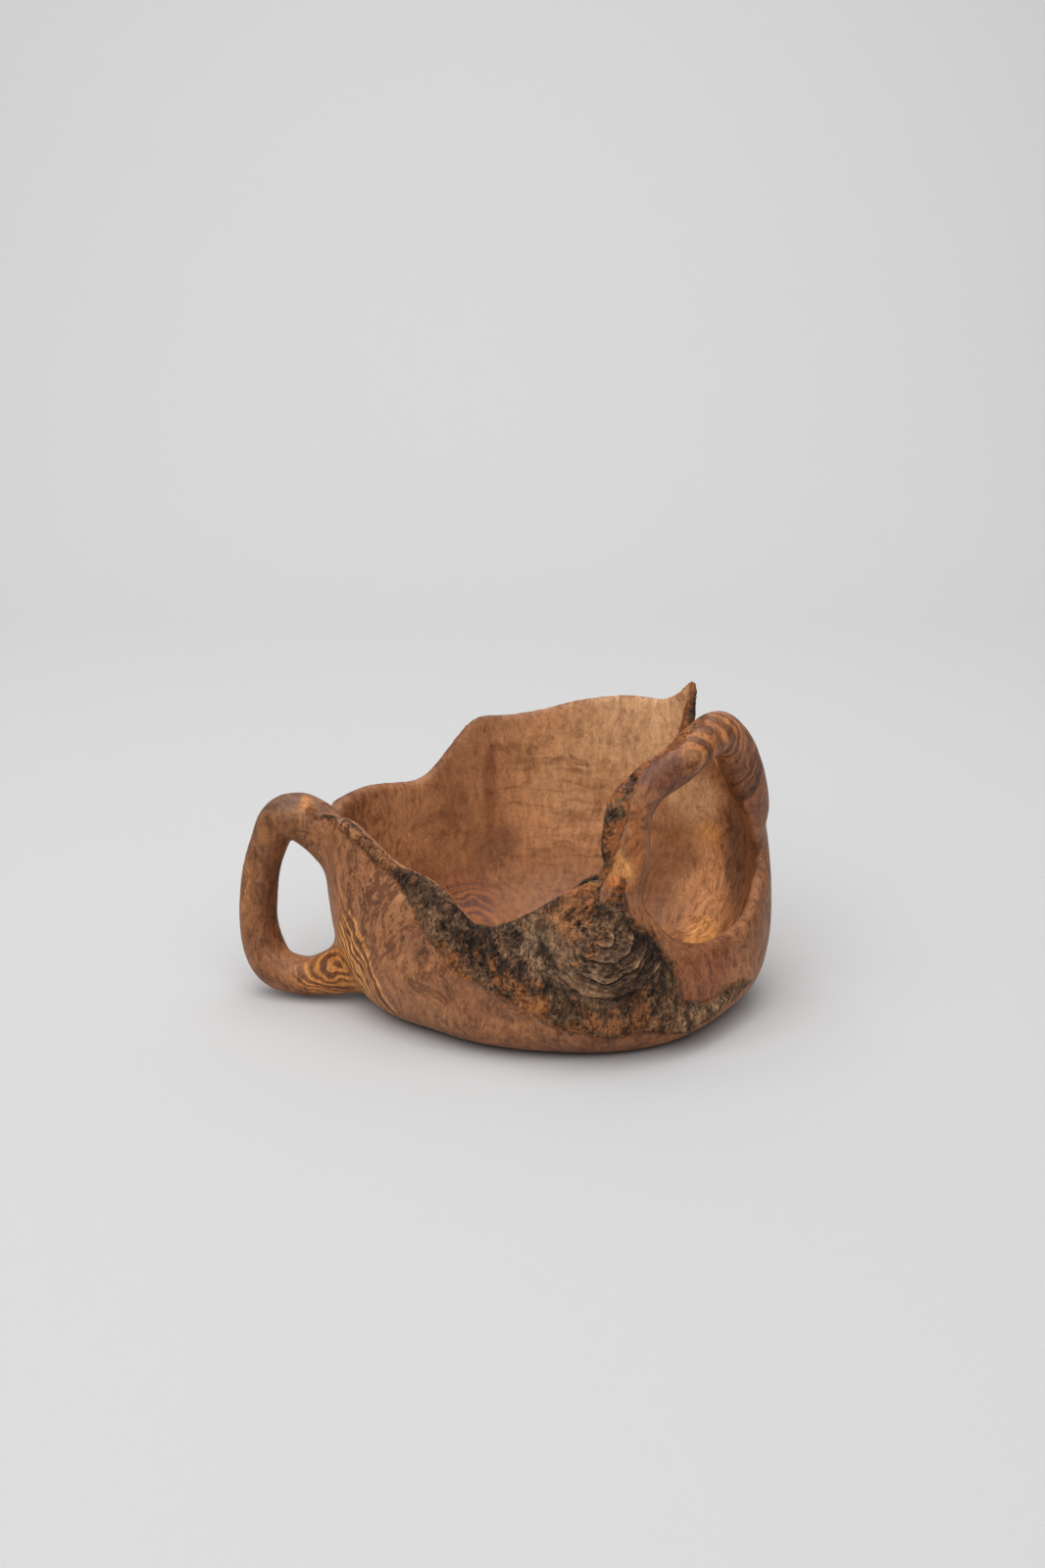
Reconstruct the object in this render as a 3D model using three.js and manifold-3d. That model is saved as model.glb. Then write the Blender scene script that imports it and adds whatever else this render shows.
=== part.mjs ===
// Centerpiece bowl carved from one burl: a free-form shell with a high back and a low front edge,
// a loop handle at the left end, an arched handle over a window at the right end, and plates of
// bark left on the natural edge. Millimetres, +Z up, +X towards the arch, the low edge towards -Y.
// Places round the bowl are polar: an angle in degrees from +X, a reach from the bowl's axis and a height.

import * as THREE from 'three';
import { mergeVertices } from 'three/addons/utils/BufferGeometryUtils.js';
import Module from 'manifold-3d';

const wasm = await Module();
wasm.setup();

// Body, the lists once round in even steps from +X
const FOOT = [ // reach of the flat sanded face that the bowl stands on
  118, 116, 110, 102, 95, 90, 88, 90, 95, 103, 112, 122,
  130, 134, 130, 118, 116, 119, 124, 134, 138, 132, 122, 118,
];
const BELLY = [ // reach that draws the sides out between foot and rim
  191, 188, 177, 162, 158, 158, 159, 161, 166, 172, 178, 185,
  191, 190, 182, 174, 170, 170, 172, 175, 177, 176, 177, 186,
];
const HEEL_HEIGHT = 3; // where the side leaves the foot
const SHOULDER_SHARE = 0.42; // share of the rim's height at which the side turns up
const FLOOR = 20; // wood under the hollow
const HOLLOW_WALL = 17; // wood between belly and hollow
const FLOOR_SHARE = 0.72; // share of the foot's reach over which the hollow's floor is flat

// Rim, once round: angle, reach, height, wall thickness
const RIM = [
  [2, 178, 165, 14], // shoulder that carries the arch
  [14, 178, 178, 13],
  [25, 169, 187, 11],
  [33, 158, 190, 9],
  [37.5, 152, 196, 8], // notch beside the horn
  [40, 156, 219, 8],
  [41.5, 170, 248, 7], // tip of the horn
  [46, 164, 234, 8],
  [51.5, 158, 226, 9],
  [62, 152, 228, 9], // top of the back
  [81, 148, 220, 9],
  [91, 148, 212, 9],
  [105, 152, 206, 9],
  [114, 156, 207, 9],
  [119, 159, 200, 9],
  [124, 162, 184, 9],
  [130.5, 167, 163, 10],
  [137, 172, 153, 11], // saddle at the left of the back
  [150, 182, 159, 12],
  [163, 190, 161, 14],
  [176, 198, 162, 18], // left end, over the loop
  [186, 193, 166, 20],
  [193.5, 183, 167, 20],
  [200, 175, 161, 18],
  [207, 166, 152, 16],
  [214, 158, 142, 16],
  [220.5, 151, 138, 17],
  [227, 145, 130, 18],
  [233.5, 140, 114, 19],
  [240, 136, 101, 20],
  [247, 133, 100, 20], // lowest point of the front edge
  [257, 131, 109, 20],
  [267.5, 130, 123, 22],
  [276, 132, 135, 26],
  [284, 134, 148, 32],
  [293, 137, 152, 34], // under the post
  [300, 142, 132, 30],
  [305, 147, 107, 26],
  [311, 152, 90, 22],
  [318, 157, 82, 18],
  [326, 162, 79, 16], // sill of the window
  [334, 169, 83, 14],
  [342, 175, 92, 13],
  [349.5, 178, 110, 12],
  [355.5, 179, 137, 12],
];
const LIP_SHARE = 0.35; // how far the rim's crown rises, as a share of the wall

// Handles: angle, reach, height, thickness and width along the limb
const LIMB_RIDGE = 1.2; // how far a limb's section is drawn from an oval towards a carved ridge
const LOOP = [
  [183, 158, 92, 42, 50], // root in the left end
  [182.5, 178, 128, 42, 50],
  [181.5, 197, 149.5, 42, 49],
  [180.8, 213.5, 157, 40, 45],
  [180, 229.5, 155.5, 38, 38],
  [179.8, 240, 134, 37, 33],
  [179.8, 247.5, 110, 37, 33],
  [179.8, 250.5, 87, 37, 34],
  [180, 251.5, 64, 37, 34],
  [181, 247.5, 41.5, 37, 38],
  [182.6, 237, 25, 37, 39],
  [184, 219, 20, 38, 35],
  [185.2, 203, 20, 40, 36],
  [186.5, 180, 27, 46, 48],
  [188, 156, 34, 50, 62], // root in the belly
];
const ARCH = [
  [293, 121, 126, 34, 50], // root in the front edge
  [295.5, 129, 148, 36, 44],
  [296.3, 128, 172, 33, 38],
  [298.5, 125, 196, 33, 37],
  [304.4, 126, 215, 34, 36],
  [316.6, 131, 227, 34, 34],
  [326, 136, 240.5, 36, 36],
  [335, 142.5, 247.5, 38, 37], // top of the arch
  [341.8, 149.5, 235, 38, 36],
  [346.8, 156, 212, 37, 39],
  [351.3, 161.5, 189, 33, 45],
  [356.5, 167, 163, 26, 46],
  [361, 169, 126, 15, 40], // root in the right wall
];

// Bark on the bowl: angle and the share of the way up the outside where the plate ends.
// Shares over 1 lie on the rim. A plate thins towards its edges, except where it butts on a neighbour.
const RIM_STRIP = {
  low: [[189, 1], [194, 0.98], [200, 0.96], [208, 0.95], [215, 0.93], [226, 0.89]],
  high: [[189, 1.4], [226, 1.5]],
  thickness: 4,
  butts: ['end'],
};
const FRONT_BAND = {
  low: [[226.4, 0.89], [231, 0.85], [236, 0.82], [250, 0.75], [262, 0.63], [268, 0.56]],
  high: [[226.4, 1.5], [268, 1.5]],
  thickness: 6,
  butts: ['start', 'end'],
  hollowAt: furrow,
};
const KNOT = {
  low: [[268.4, 0.61], [305, 0.61]],
  high: [[268.4, 1.5], [282, 1.3], [293, 0.92], [305, 0.88]],
  thickness: 8,
  butts: ['start', 'low'],
  hollowAt: sheetDrop,
};
const LOWER_FRINGE = {
  low: [[268.4, 0.52], [279, 0.4], [290, 0.32], [306, 0.33], [314, 0.29], [321, 0.39], [331, 0.5]],
  high: [[268.4, 0.6], [305, 0.6], [316, 0.62], [325, 0.66], [331, 0.62]],
  thickness: 5,
  butts: ['start', 'high'],
};
const HORN_EDGE = {
  low: [[36, 0.98], [41.3, 0.98]],
  high: [[36, 1.65], [41.3, 1.65]],
  thickness: 2.5,
  butts: [],
};
// Bark on the arch: shares along the limb, turns round it in degrees
const POST_STRIP = { along: [0.12, 0.31], round: [215, 335], thickness: 4 };
const ARCH_RIDGE = { along: [0.34, 0.52], round: [195, 280], thickness: 2.5 };
const CRUST_EDGE = 0.8; // thickness that bark thins to at its edges
const FURROW_DEPTH = 3.2; // of the furrows that run up the front band
const FURROW_STEP = 19; // along x
const FURROW_LEAN = 0.12; // step along x for each step up
const FURROW_SHARPNESS = 3;
const SHEET_DEPTH = 2.8; // from the lip of a sheet of bark to the sheet below it
const SHEET_WIDTH = 13; // of the sheets that lie round the knot
const KNOT_MIDDLE = new THREE.Vector2(37, 104); // x and height
const CRUST_FADE = 0.25; // share of a plate over which it thins
const CRUST_SINK = 1; // depth that a plate is drawn below the wood, where the wood then cuts it off

// Meshes
const SEAM = 0.3; // gap between neighbouring solids
const RIBS_PER_STATION = 2;
const SIDE_STEPS = 9;
const CROWN_STEPS = 3;
const HOLLOW_STEPS = 9;
const LIMB_STEPS = 36;
const LIMB_SIDES = 14;
const CRUST_COLUMNS = 8;
const CARVED_ROWS = 3; // in place of one row, where bark has furrows or sheets
const CARVED_COLUMNS = 22;

const radians = THREE.MathUtils.degToRad;

function polar(angle, reach, height) {
  return new THREE.Vector3(reach * Math.cos(angle), reach * Math.sin(angle), height);
}

function geometry(points, faces) {
  const made = new THREE.BufferGeometry();
  made.setAttribute('position', new THREE.Float32BufferAttribute(points.flatMap((p) => p.toArray()), 3));
  made.setIndex(faces);
  made.computeVertexNormals();
  return made;
}

// A closed body from rings of points, counter-clockwise about the way they advance, with a pole at each end.
function skin(rings, firstPole, lastPole) {
  const count = rings[0].length;
  const points = [firstPole, ...rings.flat(), lastPole];
  const end = points.length - 1;
  const at = (ring, i) => 1 + ring * count + (i % count);
  const faces = [];
  for (let i = 0; i < count; i++) {
    faces.push(0, at(0, i + 1), at(0, i));
    for (let ring = 0; ring < rings.length - 1; ring++) {
      faces.push(at(ring, i), at(ring, i + 1), at(ring + 1, i + 1));
      faces.push(at(ring, i), at(ring + 1, i + 1), at(ring + 1, i));
    }
    faces.push(end, at(rings.length - 1, i), at(rings.length - 1, i + 1));
  }
  return geometry(points, faces);
}

// A closed slab between two grids of points, the first one underneath.
function slab(under, over) {
  const rows = under.length;
  const columns = under[0].length;
  const points = [...under.flat(), ...over.flat()];
  const low = (i, j) => i * columns + j;
  const high = (i, j) => rows * columns + low(i, j);
  const faces = [];
  const wall = (a, b) => faces.push(low(...a), low(...b), high(...b), low(...a), high(...b), high(...a));
  for (let i = 0; i < rows - 1; i++) {
    for (let j = 0; j < columns - 1; j++) {
      faces.push(high(i, j), high(i + 1, j), high(i + 1, j + 1));
      faces.push(high(i, j), high(i + 1, j + 1), high(i, j + 1));
      faces.push(low(i, j), low(i + 1, j + 1), low(i + 1, j));
      faces.push(low(i, j), low(i, j + 1), low(i + 1, j + 1));
    }
  }
  for (let i = 0; i < rows - 1; i++) {
    wall([i, 0], [i + 1, 0]);
    wall([i + 1, columns - 1], [i, columns - 1]);
  }
  for (let j = 0; j < columns - 1; j++) {
    wall([0, j + 1], [0, j]);
    wall([rows - 1, j], [rows - 1, j + 1]);
  }
  return geometry(points, faces);
}

function solid(shape) {
  const bare = new THREE.BufferGeometry().setAttribute('position', shape.getAttribute('position'));
  const merged = mergeVertices(bare.setIndex(shape.getIndex()), 1e-4);
  const vertProperties = merged.getAttribute('position').array;
  const triVerts = new Uint32Array(merged.getIndex().array);
  return new wasm.Manifold(new wasm.Mesh({ numProp: 3, vertProperties, triVerts }));
}

// The largest body of a cut, as a geometry.
function mainBody(cut) {
  const bodies = cut.decompose().sort((a, b) => b.volume() - a.volume());
  const mesh = bodies[0].getMesh();
  const made = new THREE.BufferGeometry();
  made.setAttribute('position', new THREE.BufferAttribute(mesh.vertProperties, 3));
  made.setIndex(new THREE.BufferAttribute(mesh.triVerts, 1));
  made.computeVertexNormals();
  return made;
}

// Rim
const rimLine = new THREE.CatmullRomCurve3(
  RIM.map(([angle, reach, height]) => polar(radians(angle), reach, height)),
  true,
  'catmullrom',
);
const wallLine = new THREE.CatmullRomCurve3(
  RIM.map(([, , , wall]) => new THREE.Vector3(wall, 0, 0)),
  true,
  'catmullrom',
);

// Reaches given in even steps once round, read at any angle.
function ringOf(reaches) {
  const line = new THREE.CatmullRomCurve3(reaches.map((r) => new THREE.Vector3(r, 0, 0)), true, 'catmullrom');
  return (angle) => line.getPoint(THREE.MathUtils.euclideanModulo(angle / (2 * Math.PI), 1)).x;
}
const footReach = ringOf(FOOT);
const bellyReach = ringOf(BELLY);

// The section of the bowl at a share of the way round: v runs 0 to 1 up the outside,
// 1 to 2 over the rim and 2 to 3 down the hollow to its floor.
function section(share) {
  const rim = rimLine.getPoint(share);
  const wall = wallLine.getPoint(share).x;
  const angle = Math.atan2(rim.y, rim.x);
  const reach = Math.hypot(rim.x, rim.y);
  const lip = LIP_SHARE * wall;
  const top = rim.z - lip;
  const belly = bellyReach(angle);
  const foot = footReach(angle);
  const shoulder = SHOULDER_SHARE * rim.z;
  const outside = new THREE.CubicBezierCurve(
    new THREE.Vector2(foot, 0),
    new THREE.Vector2(belly, HEEL_HEIGHT),
    new THREE.Vector2(belly, shoulder),
    new THREE.Vector2(reach, top),
  );
  const inside = new THREE.CubicBezierCurve(
    new THREE.Vector2(reach - wall, top),
    new THREE.Vector2(belly - HOLLOW_WALL, shoulder + FLOOR),
    new THREE.Vector2(belly - HOLLOW_WALL, FLOOR),
    new THREE.Vector2(FLOOR_SHARE * foot, FLOOR),
  );
  const crown = (turn) =>
    new THREE.Vector2(reach - (wall / 2) * (1 - Math.cos(turn)), top + lip * Math.sin(turn));
  return (v) => {
    const p = v <= 1 ? outside.getPoint(v) : v < 2 ? crown((v - 1) * Math.PI) : inside.getPoint(v - 2);
    return polar(angle, p.x, p.y);
  };
}

// A point of the bowl's surface moved out along its normal.
function bowlSurface(share, v, out) {
  const step = 1e-3;
  const here = section(share)(v);
  const across = section(share + step)(v).sub(section(share - step)(v));
  const along = section(share)(v + step).sub(section(share)(v - step));
  return here.addScaledVector(across.cross(along).normalize(), out);
}

const ribs = RIM.length * RIBS_PER_STATION;
const steps = (count, from, to) =>
  Array.from({ length: count + 1 }, (_, i) => from + ((to - from) * i) / count);

function bowlRings(levels, out) {
  return levels.map((v) =>
    Array.from({ length: ribs }, (_, i) => {
      return out ? bowlSurface(i / ribs, v, out) : section(i / ribs)(v);
    }),
  );
}

const sideLevels = steps(SIDE_STEPS, 0, 1);
const crownLevels = steps(CROWN_STEPS, 1, 2).slice(1, -1);
const hollowLevels = steps(HOLLOW_STEPS, 2, 3);

function bowlShell() {
  const rings = bowlRings([...sideLevels, ...crownLevels, ...hollowLevels], 0);
  return skin(rings, new THREE.Vector3(), new THREE.Vector3(0, 0, FLOOR));
}

// The bowl with its hollow filled to the rim, one seam larger all round, to cut what meets it.
function bowlPlug() {
  const rings = bowlRings([...sideLevels, ...crownLevels], SEAM);
  const heights = RIM.map(([, , height]) => height);
  const lid = heights.reduce((sum, height) => sum + height, 0) / heights.length;
  return skin(rings, new THREE.Vector3(0, 0, -SEAM), new THREE.Vector3(0, 0, lid));
}

// A limb of oval section with a soft ridge at each end of its thickness, which lies along the side
// direction. Its width lies across that.
function limb(stations, sideAt) {
  const drawn = (value) => Math.sign(value) * Math.abs(value) ** LIMB_RIDGE;
  const path = new THREE.CatmullRomCurve3(stations.map(([a, r, z]) => polar(radians(a), r, z)));
  const sizes = new THREE.CatmullRomCurve3(stations.map(([, , , t, w]) => new THREE.Vector3(t / 2, w / 2, 0)));
  return (share, turn, out) => {
    const centre = path.getPoint(share);
    const ahead = path.getTangent(share);
    const side = sideAt(centre).projectOnPlane(ahead).normalize();
    const across = ahead.clone().cross(side);
    const size = sizes.getPoint(share);
    return centre
      .addScaledVector(side, (size.x + out) * drawn(Math.cos(turn)))
      .addScaledVector(across, (size.y + out) * drawn(Math.sin(turn)));
  };
}

function limbSolid(surface, stations, out) {
  const turns = steps(LIMB_SIDES, 0, 2 * Math.PI).slice(0, -1);
  const rings = steps(LIMB_STEPS, 0, 1).map((share) => turns.map((turn) => surface(share, turn, out)));
  const ends = [stations[0], stations[stations.length - 1]].map(([a, r, z]) => polar(radians(a), r, z));
  return solid(skin(rings, ends[0], ends[1]));
}

// Depth of the furrows at a place on the wood.
function furrow(at) {
  const turn = (Math.PI * (at.x + FURROW_LEAN * at.z)) / FURROW_STEP;
  return FURROW_DEPTH * Math.abs(Math.cos(turn)) ** FURROW_SHARPNESS;
}

// Drop below the lips of the sheets round the knot: each sheet lifts outwards and ends at its lip.
function sheetDrop(at) {
  const turn = (2 * Math.PI * KNOT_MIDDLE.distanceTo(new THREE.Vector2(at.x, at.z))) / SHEET_WIDTH;
  return (SHEET_DEPTH / 2) * (1 + 0.8 * Math.sin(turn) + 0.25 * Math.sin(2 * turn));
}

// A plate of bark sunk into a surface, with rows and columns in the surface's two shares.
// Rows run from its start to its end, columns from its low side to its high side.
function crust(surface, rows, columnsAt, thickness, butts, hollowAt = () => 0) {
  const rise = (steps, count, side) => (butts.includes(side) ? 1 : steps / (CRUST_FADE * (count - 1)));
  const inset = (i, count, first, last) => Math.min(1, rise(i, count, first), rise(count - 1 - i, count, last));
  const layer = (upper) =>
    rows.map((row, i) =>
      columnsAt(row).map((column, j, columns) => {
        const lengthwise = inset(i, rows.length, 'start', 'end');
        const cover = Math.min(lengthwise, inset(j, columns.length, 'low', 'high'));
        const full = thickness - hollowAt(surface(row, column, 0));
        const bark = CRUST_EDGE + (full - CRUST_EDGE) * cover;
        return surface(row, column, upper ? SEAM + bark : -CRUST_SINK);
      }),
    );
  return solid(slab(layer(false), layer(true)));
}

// Share of the way round at which the rim passes an angle in degrees.
function shareAt(angle) {
  const first = RIM[0][0];
  const wanted = THREE.MathUtils.euclideanModulo(angle - first, 360);
  let low = 0;
  let high = 1;
  for (let i = 0; i < 40; i++) {
    const middle = (low + high) / 2;
    const at = rimLine.getPoint(middle);
    const here = THREE.MathUtils.euclideanModulo(THREE.MathUtils.radToDeg(Math.atan2(at.y, at.x)) - first, 360);
    if (here < wanted) low = middle;
    else high = middle;
  }
  return low;
}

function between(table, share) {
  const at = table.map(([angle, value]) => [shareAt(angle), value]);
  const next = Math.max(1, at.findIndex(([mark]) => mark >= share - 1e-6));
  const [[s0, v0], [s1, v1]] = [at[next - 1], at[next]];
  return THREE.MathUtils.mapLinear(share, s0, s1, v0, v1);
}

function bowlBark({ low, high, thickness, butts, hollowAt }) {
  const [from, to] = [low[0][0], low[low.length - 1][0]].map(shareAt);
  const count = hollowAt ? ribs * CARVED_ROWS : ribs;
  const margin = 0.3 / count;
  const inner = steps(count, 0, 1).filter((share) => share > from + margin && share < to - margin);
  const columns = hollowAt ? CARVED_COLUMNS : CRUST_COLUMNS;
  const columnsAt = (share) => steps(columns, between(low, share), between(high, share));
  return crust(bowlSurface, [from, ...inner, to], columnsAt, thickness, butts, hollowAt);
}

function limbBark(surface, { along, round, thickness }) {
  const margin = 0.3 / LIMB_STEPS;
  const inner = steps(LIMB_STEPS, 0, 1).filter((s) => s > along[0] + margin && s < along[1] - margin);
  const shares = [along[0], ...inner, along[1]];
  const turned = (turn, share, out) => surface(share, turn, out);
  return crust(turned, steps(CRUST_COLUMNS, ...round.map(radians)), () => shares, thickness, []);
}

const loopSurface = limb(LOOP, () => new THREE.Vector3(0, 1, 0));
const archSurface = limb(ARCH, (at) => new THREE.Vector3(at.x, at.y, 0));
const plug = solid(bowlPlug());
const archRoom = limbSolid(archSurface, ARCH, SEAM);

const wood = new THREE.MeshStandardMaterial({ color: 0x9a6238, roughness: 0.55, metalness: 0 });
const bark = new THREE.MeshStandardMaterial({ color: 0x4d3d32, roughness: 0.9, metalness: 0 });

const bowl = new THREE.Group();

function piece(name, shape, material) {
  const mesh = new THREE.Mesh(shape, material);
  mesh.name = name;
  bowl.add(mesh);
}

piece('bowl_shell', bowlShell(), wood);
piece('left_handle', mainBody(limbSolid(loopSurface, LOOP, 0).subtract(plug)), wood);
piece('right_handle', mainBody(limbSolid(archSurface, ARCH, 0).subtract(plug)), wood);
piece('bark_rim_strip', mainBody(bowlBark(RIM_STRIP).subtract(plug)), bark);
piece('bark_front_band', mainBody(bowlBark(FRONT_BAND).subtract(plug)), bark);
piece('bark_knot', mainBody(bowlBark(KNOT).subtract(plug).subtract(archRoom)), bark);
piece('bark_lower_fringe', mainBody(bowlBark(LOWER_FRINGE).subtract(plug)), bark);
piece('bark_horn_edge', mainBody(bowlBark(HORN_EDGE).subtract(plug)), bark);
piece('bark_post_strip', mainBody(limbBark(archSurface, POST_STRIP).subtract(archRoom)), bark);
piece('bark_arch_ridge', mainBody(limbBark(archSurface, ARCH_RIDGE).subtract(archRoom)), bark);

// The frame's origin is the middle of the bottom of the whole bowl.
const box = new THREE.Box3().setFromObject(bowl);
const middle = box.getCenter(new THREE.Vector3());
bowl.position.set(-middle.x, -middle.y, -box.min.z);

export default bowl;
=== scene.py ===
"""Looks of a centerpiece bowl carved from one burl, with bark left on its natural edge.

The frame gives the wood as three solids and the bark as seven plates. The wood is blended into one carved
surface with filleted handle roots and cut again at those roots, and the bark grows out of that surface.
Meshes are in metres, +Z up, with the low bark edge towards -Y. Sizes named here are in millimetres.
"""

import logging
import math
from dataclasses import dataclass, field
from enum import Enum
from typing import Any, Iterable, Optional, Sequence, Union

import bmesh
import bpy
from bpy.types import ColorRamp, Material, Mesh, Node, NodeSocket, NodeTree, Object
import numpy as np
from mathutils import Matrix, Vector
from mathutils.bvhtree import BVHTree


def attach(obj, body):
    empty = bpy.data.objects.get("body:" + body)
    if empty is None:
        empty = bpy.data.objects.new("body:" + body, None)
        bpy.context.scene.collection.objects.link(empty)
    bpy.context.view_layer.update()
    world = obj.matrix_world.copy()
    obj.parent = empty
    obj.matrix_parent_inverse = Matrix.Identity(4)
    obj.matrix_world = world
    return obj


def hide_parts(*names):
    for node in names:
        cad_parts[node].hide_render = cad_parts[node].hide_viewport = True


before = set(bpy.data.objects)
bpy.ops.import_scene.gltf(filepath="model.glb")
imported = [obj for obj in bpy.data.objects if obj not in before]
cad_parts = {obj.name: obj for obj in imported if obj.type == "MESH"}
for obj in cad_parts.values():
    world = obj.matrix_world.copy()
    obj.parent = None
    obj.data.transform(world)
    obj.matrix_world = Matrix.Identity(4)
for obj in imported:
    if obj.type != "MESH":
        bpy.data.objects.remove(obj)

log = logging.getLogger("centerpiece_bowl")

MM = 0.001
BODY = "root"
PATCH_EDGE = (1.1, 0.35)
BROAD_STRIPE = 0.55
THIN_STRIPE = 0.24
FINER_LEVELS = 2
CLOUD_BLOCK = 64
WOOD_MARKS = ("bark_near", "stain", "wear_highlight_and_shade")
BARK_MARKS = ("edge", "rise", "fissure", "rust")
STAIN_REACH = 16.0
STAIN_FADE = 4.0
WEAR_AND_SHADE_BULGE = (0.105, 0.26)
WEAR_AND_SHADE_ROUNDS = 2
BACK_EDGE = (20, 60)
BOWL_AXIS = (41.8, 7.6)
FACING_SPAN = 30.0
CAST_REACH = 20.0
SEAM_COVER = 3.0
SEAM_ROUNDS = 4
BODY_ROUNDS = 4
BROAD_ROUNDS = 23
LEAST_BARK = 0.3
SHARP_EDGE = 60.0
FAR = 999.0
KNOT_MIDDLE = (79, -147, 104)
SHEET_WIDTH = 13.0
EDGE_SPLITS = (-58, 37)
FRINGE_TOP = 50
Triple = tuple[float, float, float]
Pair = tuple[float, float]
Array = np.ndarray
Feed = Union["Signal", "Tone", float, Sequence[float], str, Material]


class Wood(Enum):
    """The solids of the frame that are wood."""

    SHELL = "bowl_shell"
    LOOP = "left_handle"
    ARCH = "right_handle"


LIMBS = (Wood.LOOP, Wood.ARCH)


class Bark(Enum):
    """The solids of the frame that are bark."""

    RIM_STRIP = "bark_rim_strip"
    FRONT_BAND = "bark_front_band"
    KNOT = "bark_knot"
    LOWER_FRINGE = "bark_lower_fringe"
    HORN_EDGE = "bark_horn_edge"
    POST_STRIP = "bark_post_strip"
    ARCH_RIDGE = "bark_arch_ridge"


class Slot(Enum):
    """Material slots of the record."""

    WOOD = "wood"
    BARK = "bark"


class Tone(Enum):
    """Colours of the finishes, as sRGB."""

    BROWN = (140, 90, 56)
    WARM_BROWN = (156, 102, 63)
    LEATHER = (176, 112, 66)
    TAN = (208, 148, 100)
    PALE_TAN = (213, 161, 115)
    SAND = (180, 124, 84)
    OLIVE_BROWN = (128, 80, 45)
    GREY_BROWN = (112, 80, 60)
    RED_BROWN = (138, 82, 51)
    UMBER = (106, 65, 42)
    DARK_UMBER = (76, 44, 28)
    MAROON = (106, 60, 41)
    GOLDEN = (212, 146, 80)
    ORANGE = (192, 104, 48)
    OCHRE = (194, 126, 60)
    DARK_OCHRE = (108, 61, 30)
    STAIN = (154, 90, 45)
    BARK_BLACK = (31, 23, 19)
    BARK_DARK = (64, 47, 37)
    BARK_BROWN = (95, 70, 52)
    BARK_GREY = (124, 96, 73)
    BARK_PALE = (164, 132, 100)
    RUST = (150, 92, 49)
    PAPER = (202, 202, 202)

    @property
    def linear(self) -> Triple:
        """The colour as the linear values that a shader takes."""
        shares = [value / 255 for value in self.value]
        return tuple(s / 12.92 if s <= 0.04045 else ((s + 0.055) / 1.055) ** 2.4 for s in shares)


class Signal:
    """An output socket that takes part in Python arithmetic; each operation adds a Math node."""

    def __init__(self, graph: "Graph", socket: NodeSocket) -> None:
        """Keeps the socket and the graph that it belongs to."""
        self.graph = graph
        self.socket = socket

    def __add__(self, other: Feed) -> "Signal":
        """Sum."""
        return self.graph.math("ADD", self, other)

    def __sub__(self, other: Feed) -> "Signal":
        """Difference."""
        return self.graph.math("SUBTRACT", self, other)

    def __mul__(self, other: Feed) -> "Signal":
        """Product."""
        return self.graph.math("MULTIPLY", self, other)

    def __truediv__(self, other: Feed) -> "Signal":
        """Quotient."""
        return self.graph.math("DIVIDE", self, other)

    def __abs__(self) -> "Signal":
        """Size without sign."""
        return self.graph.math("ABSOLUTE", self)

    def __rsub__(self, other: Feed) -> "Signal":
        """Difference, from the right."""
        return self.graph.math("SUBTRACT", other, self)

    def __rtruediv__(self, other: Feed) -> "Signal":
        """Quotient, from the right."""
        return self.graph.math("DIVIDE", other, self)

    __radd__ = __add__
    __rmul__ = __mul__


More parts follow.
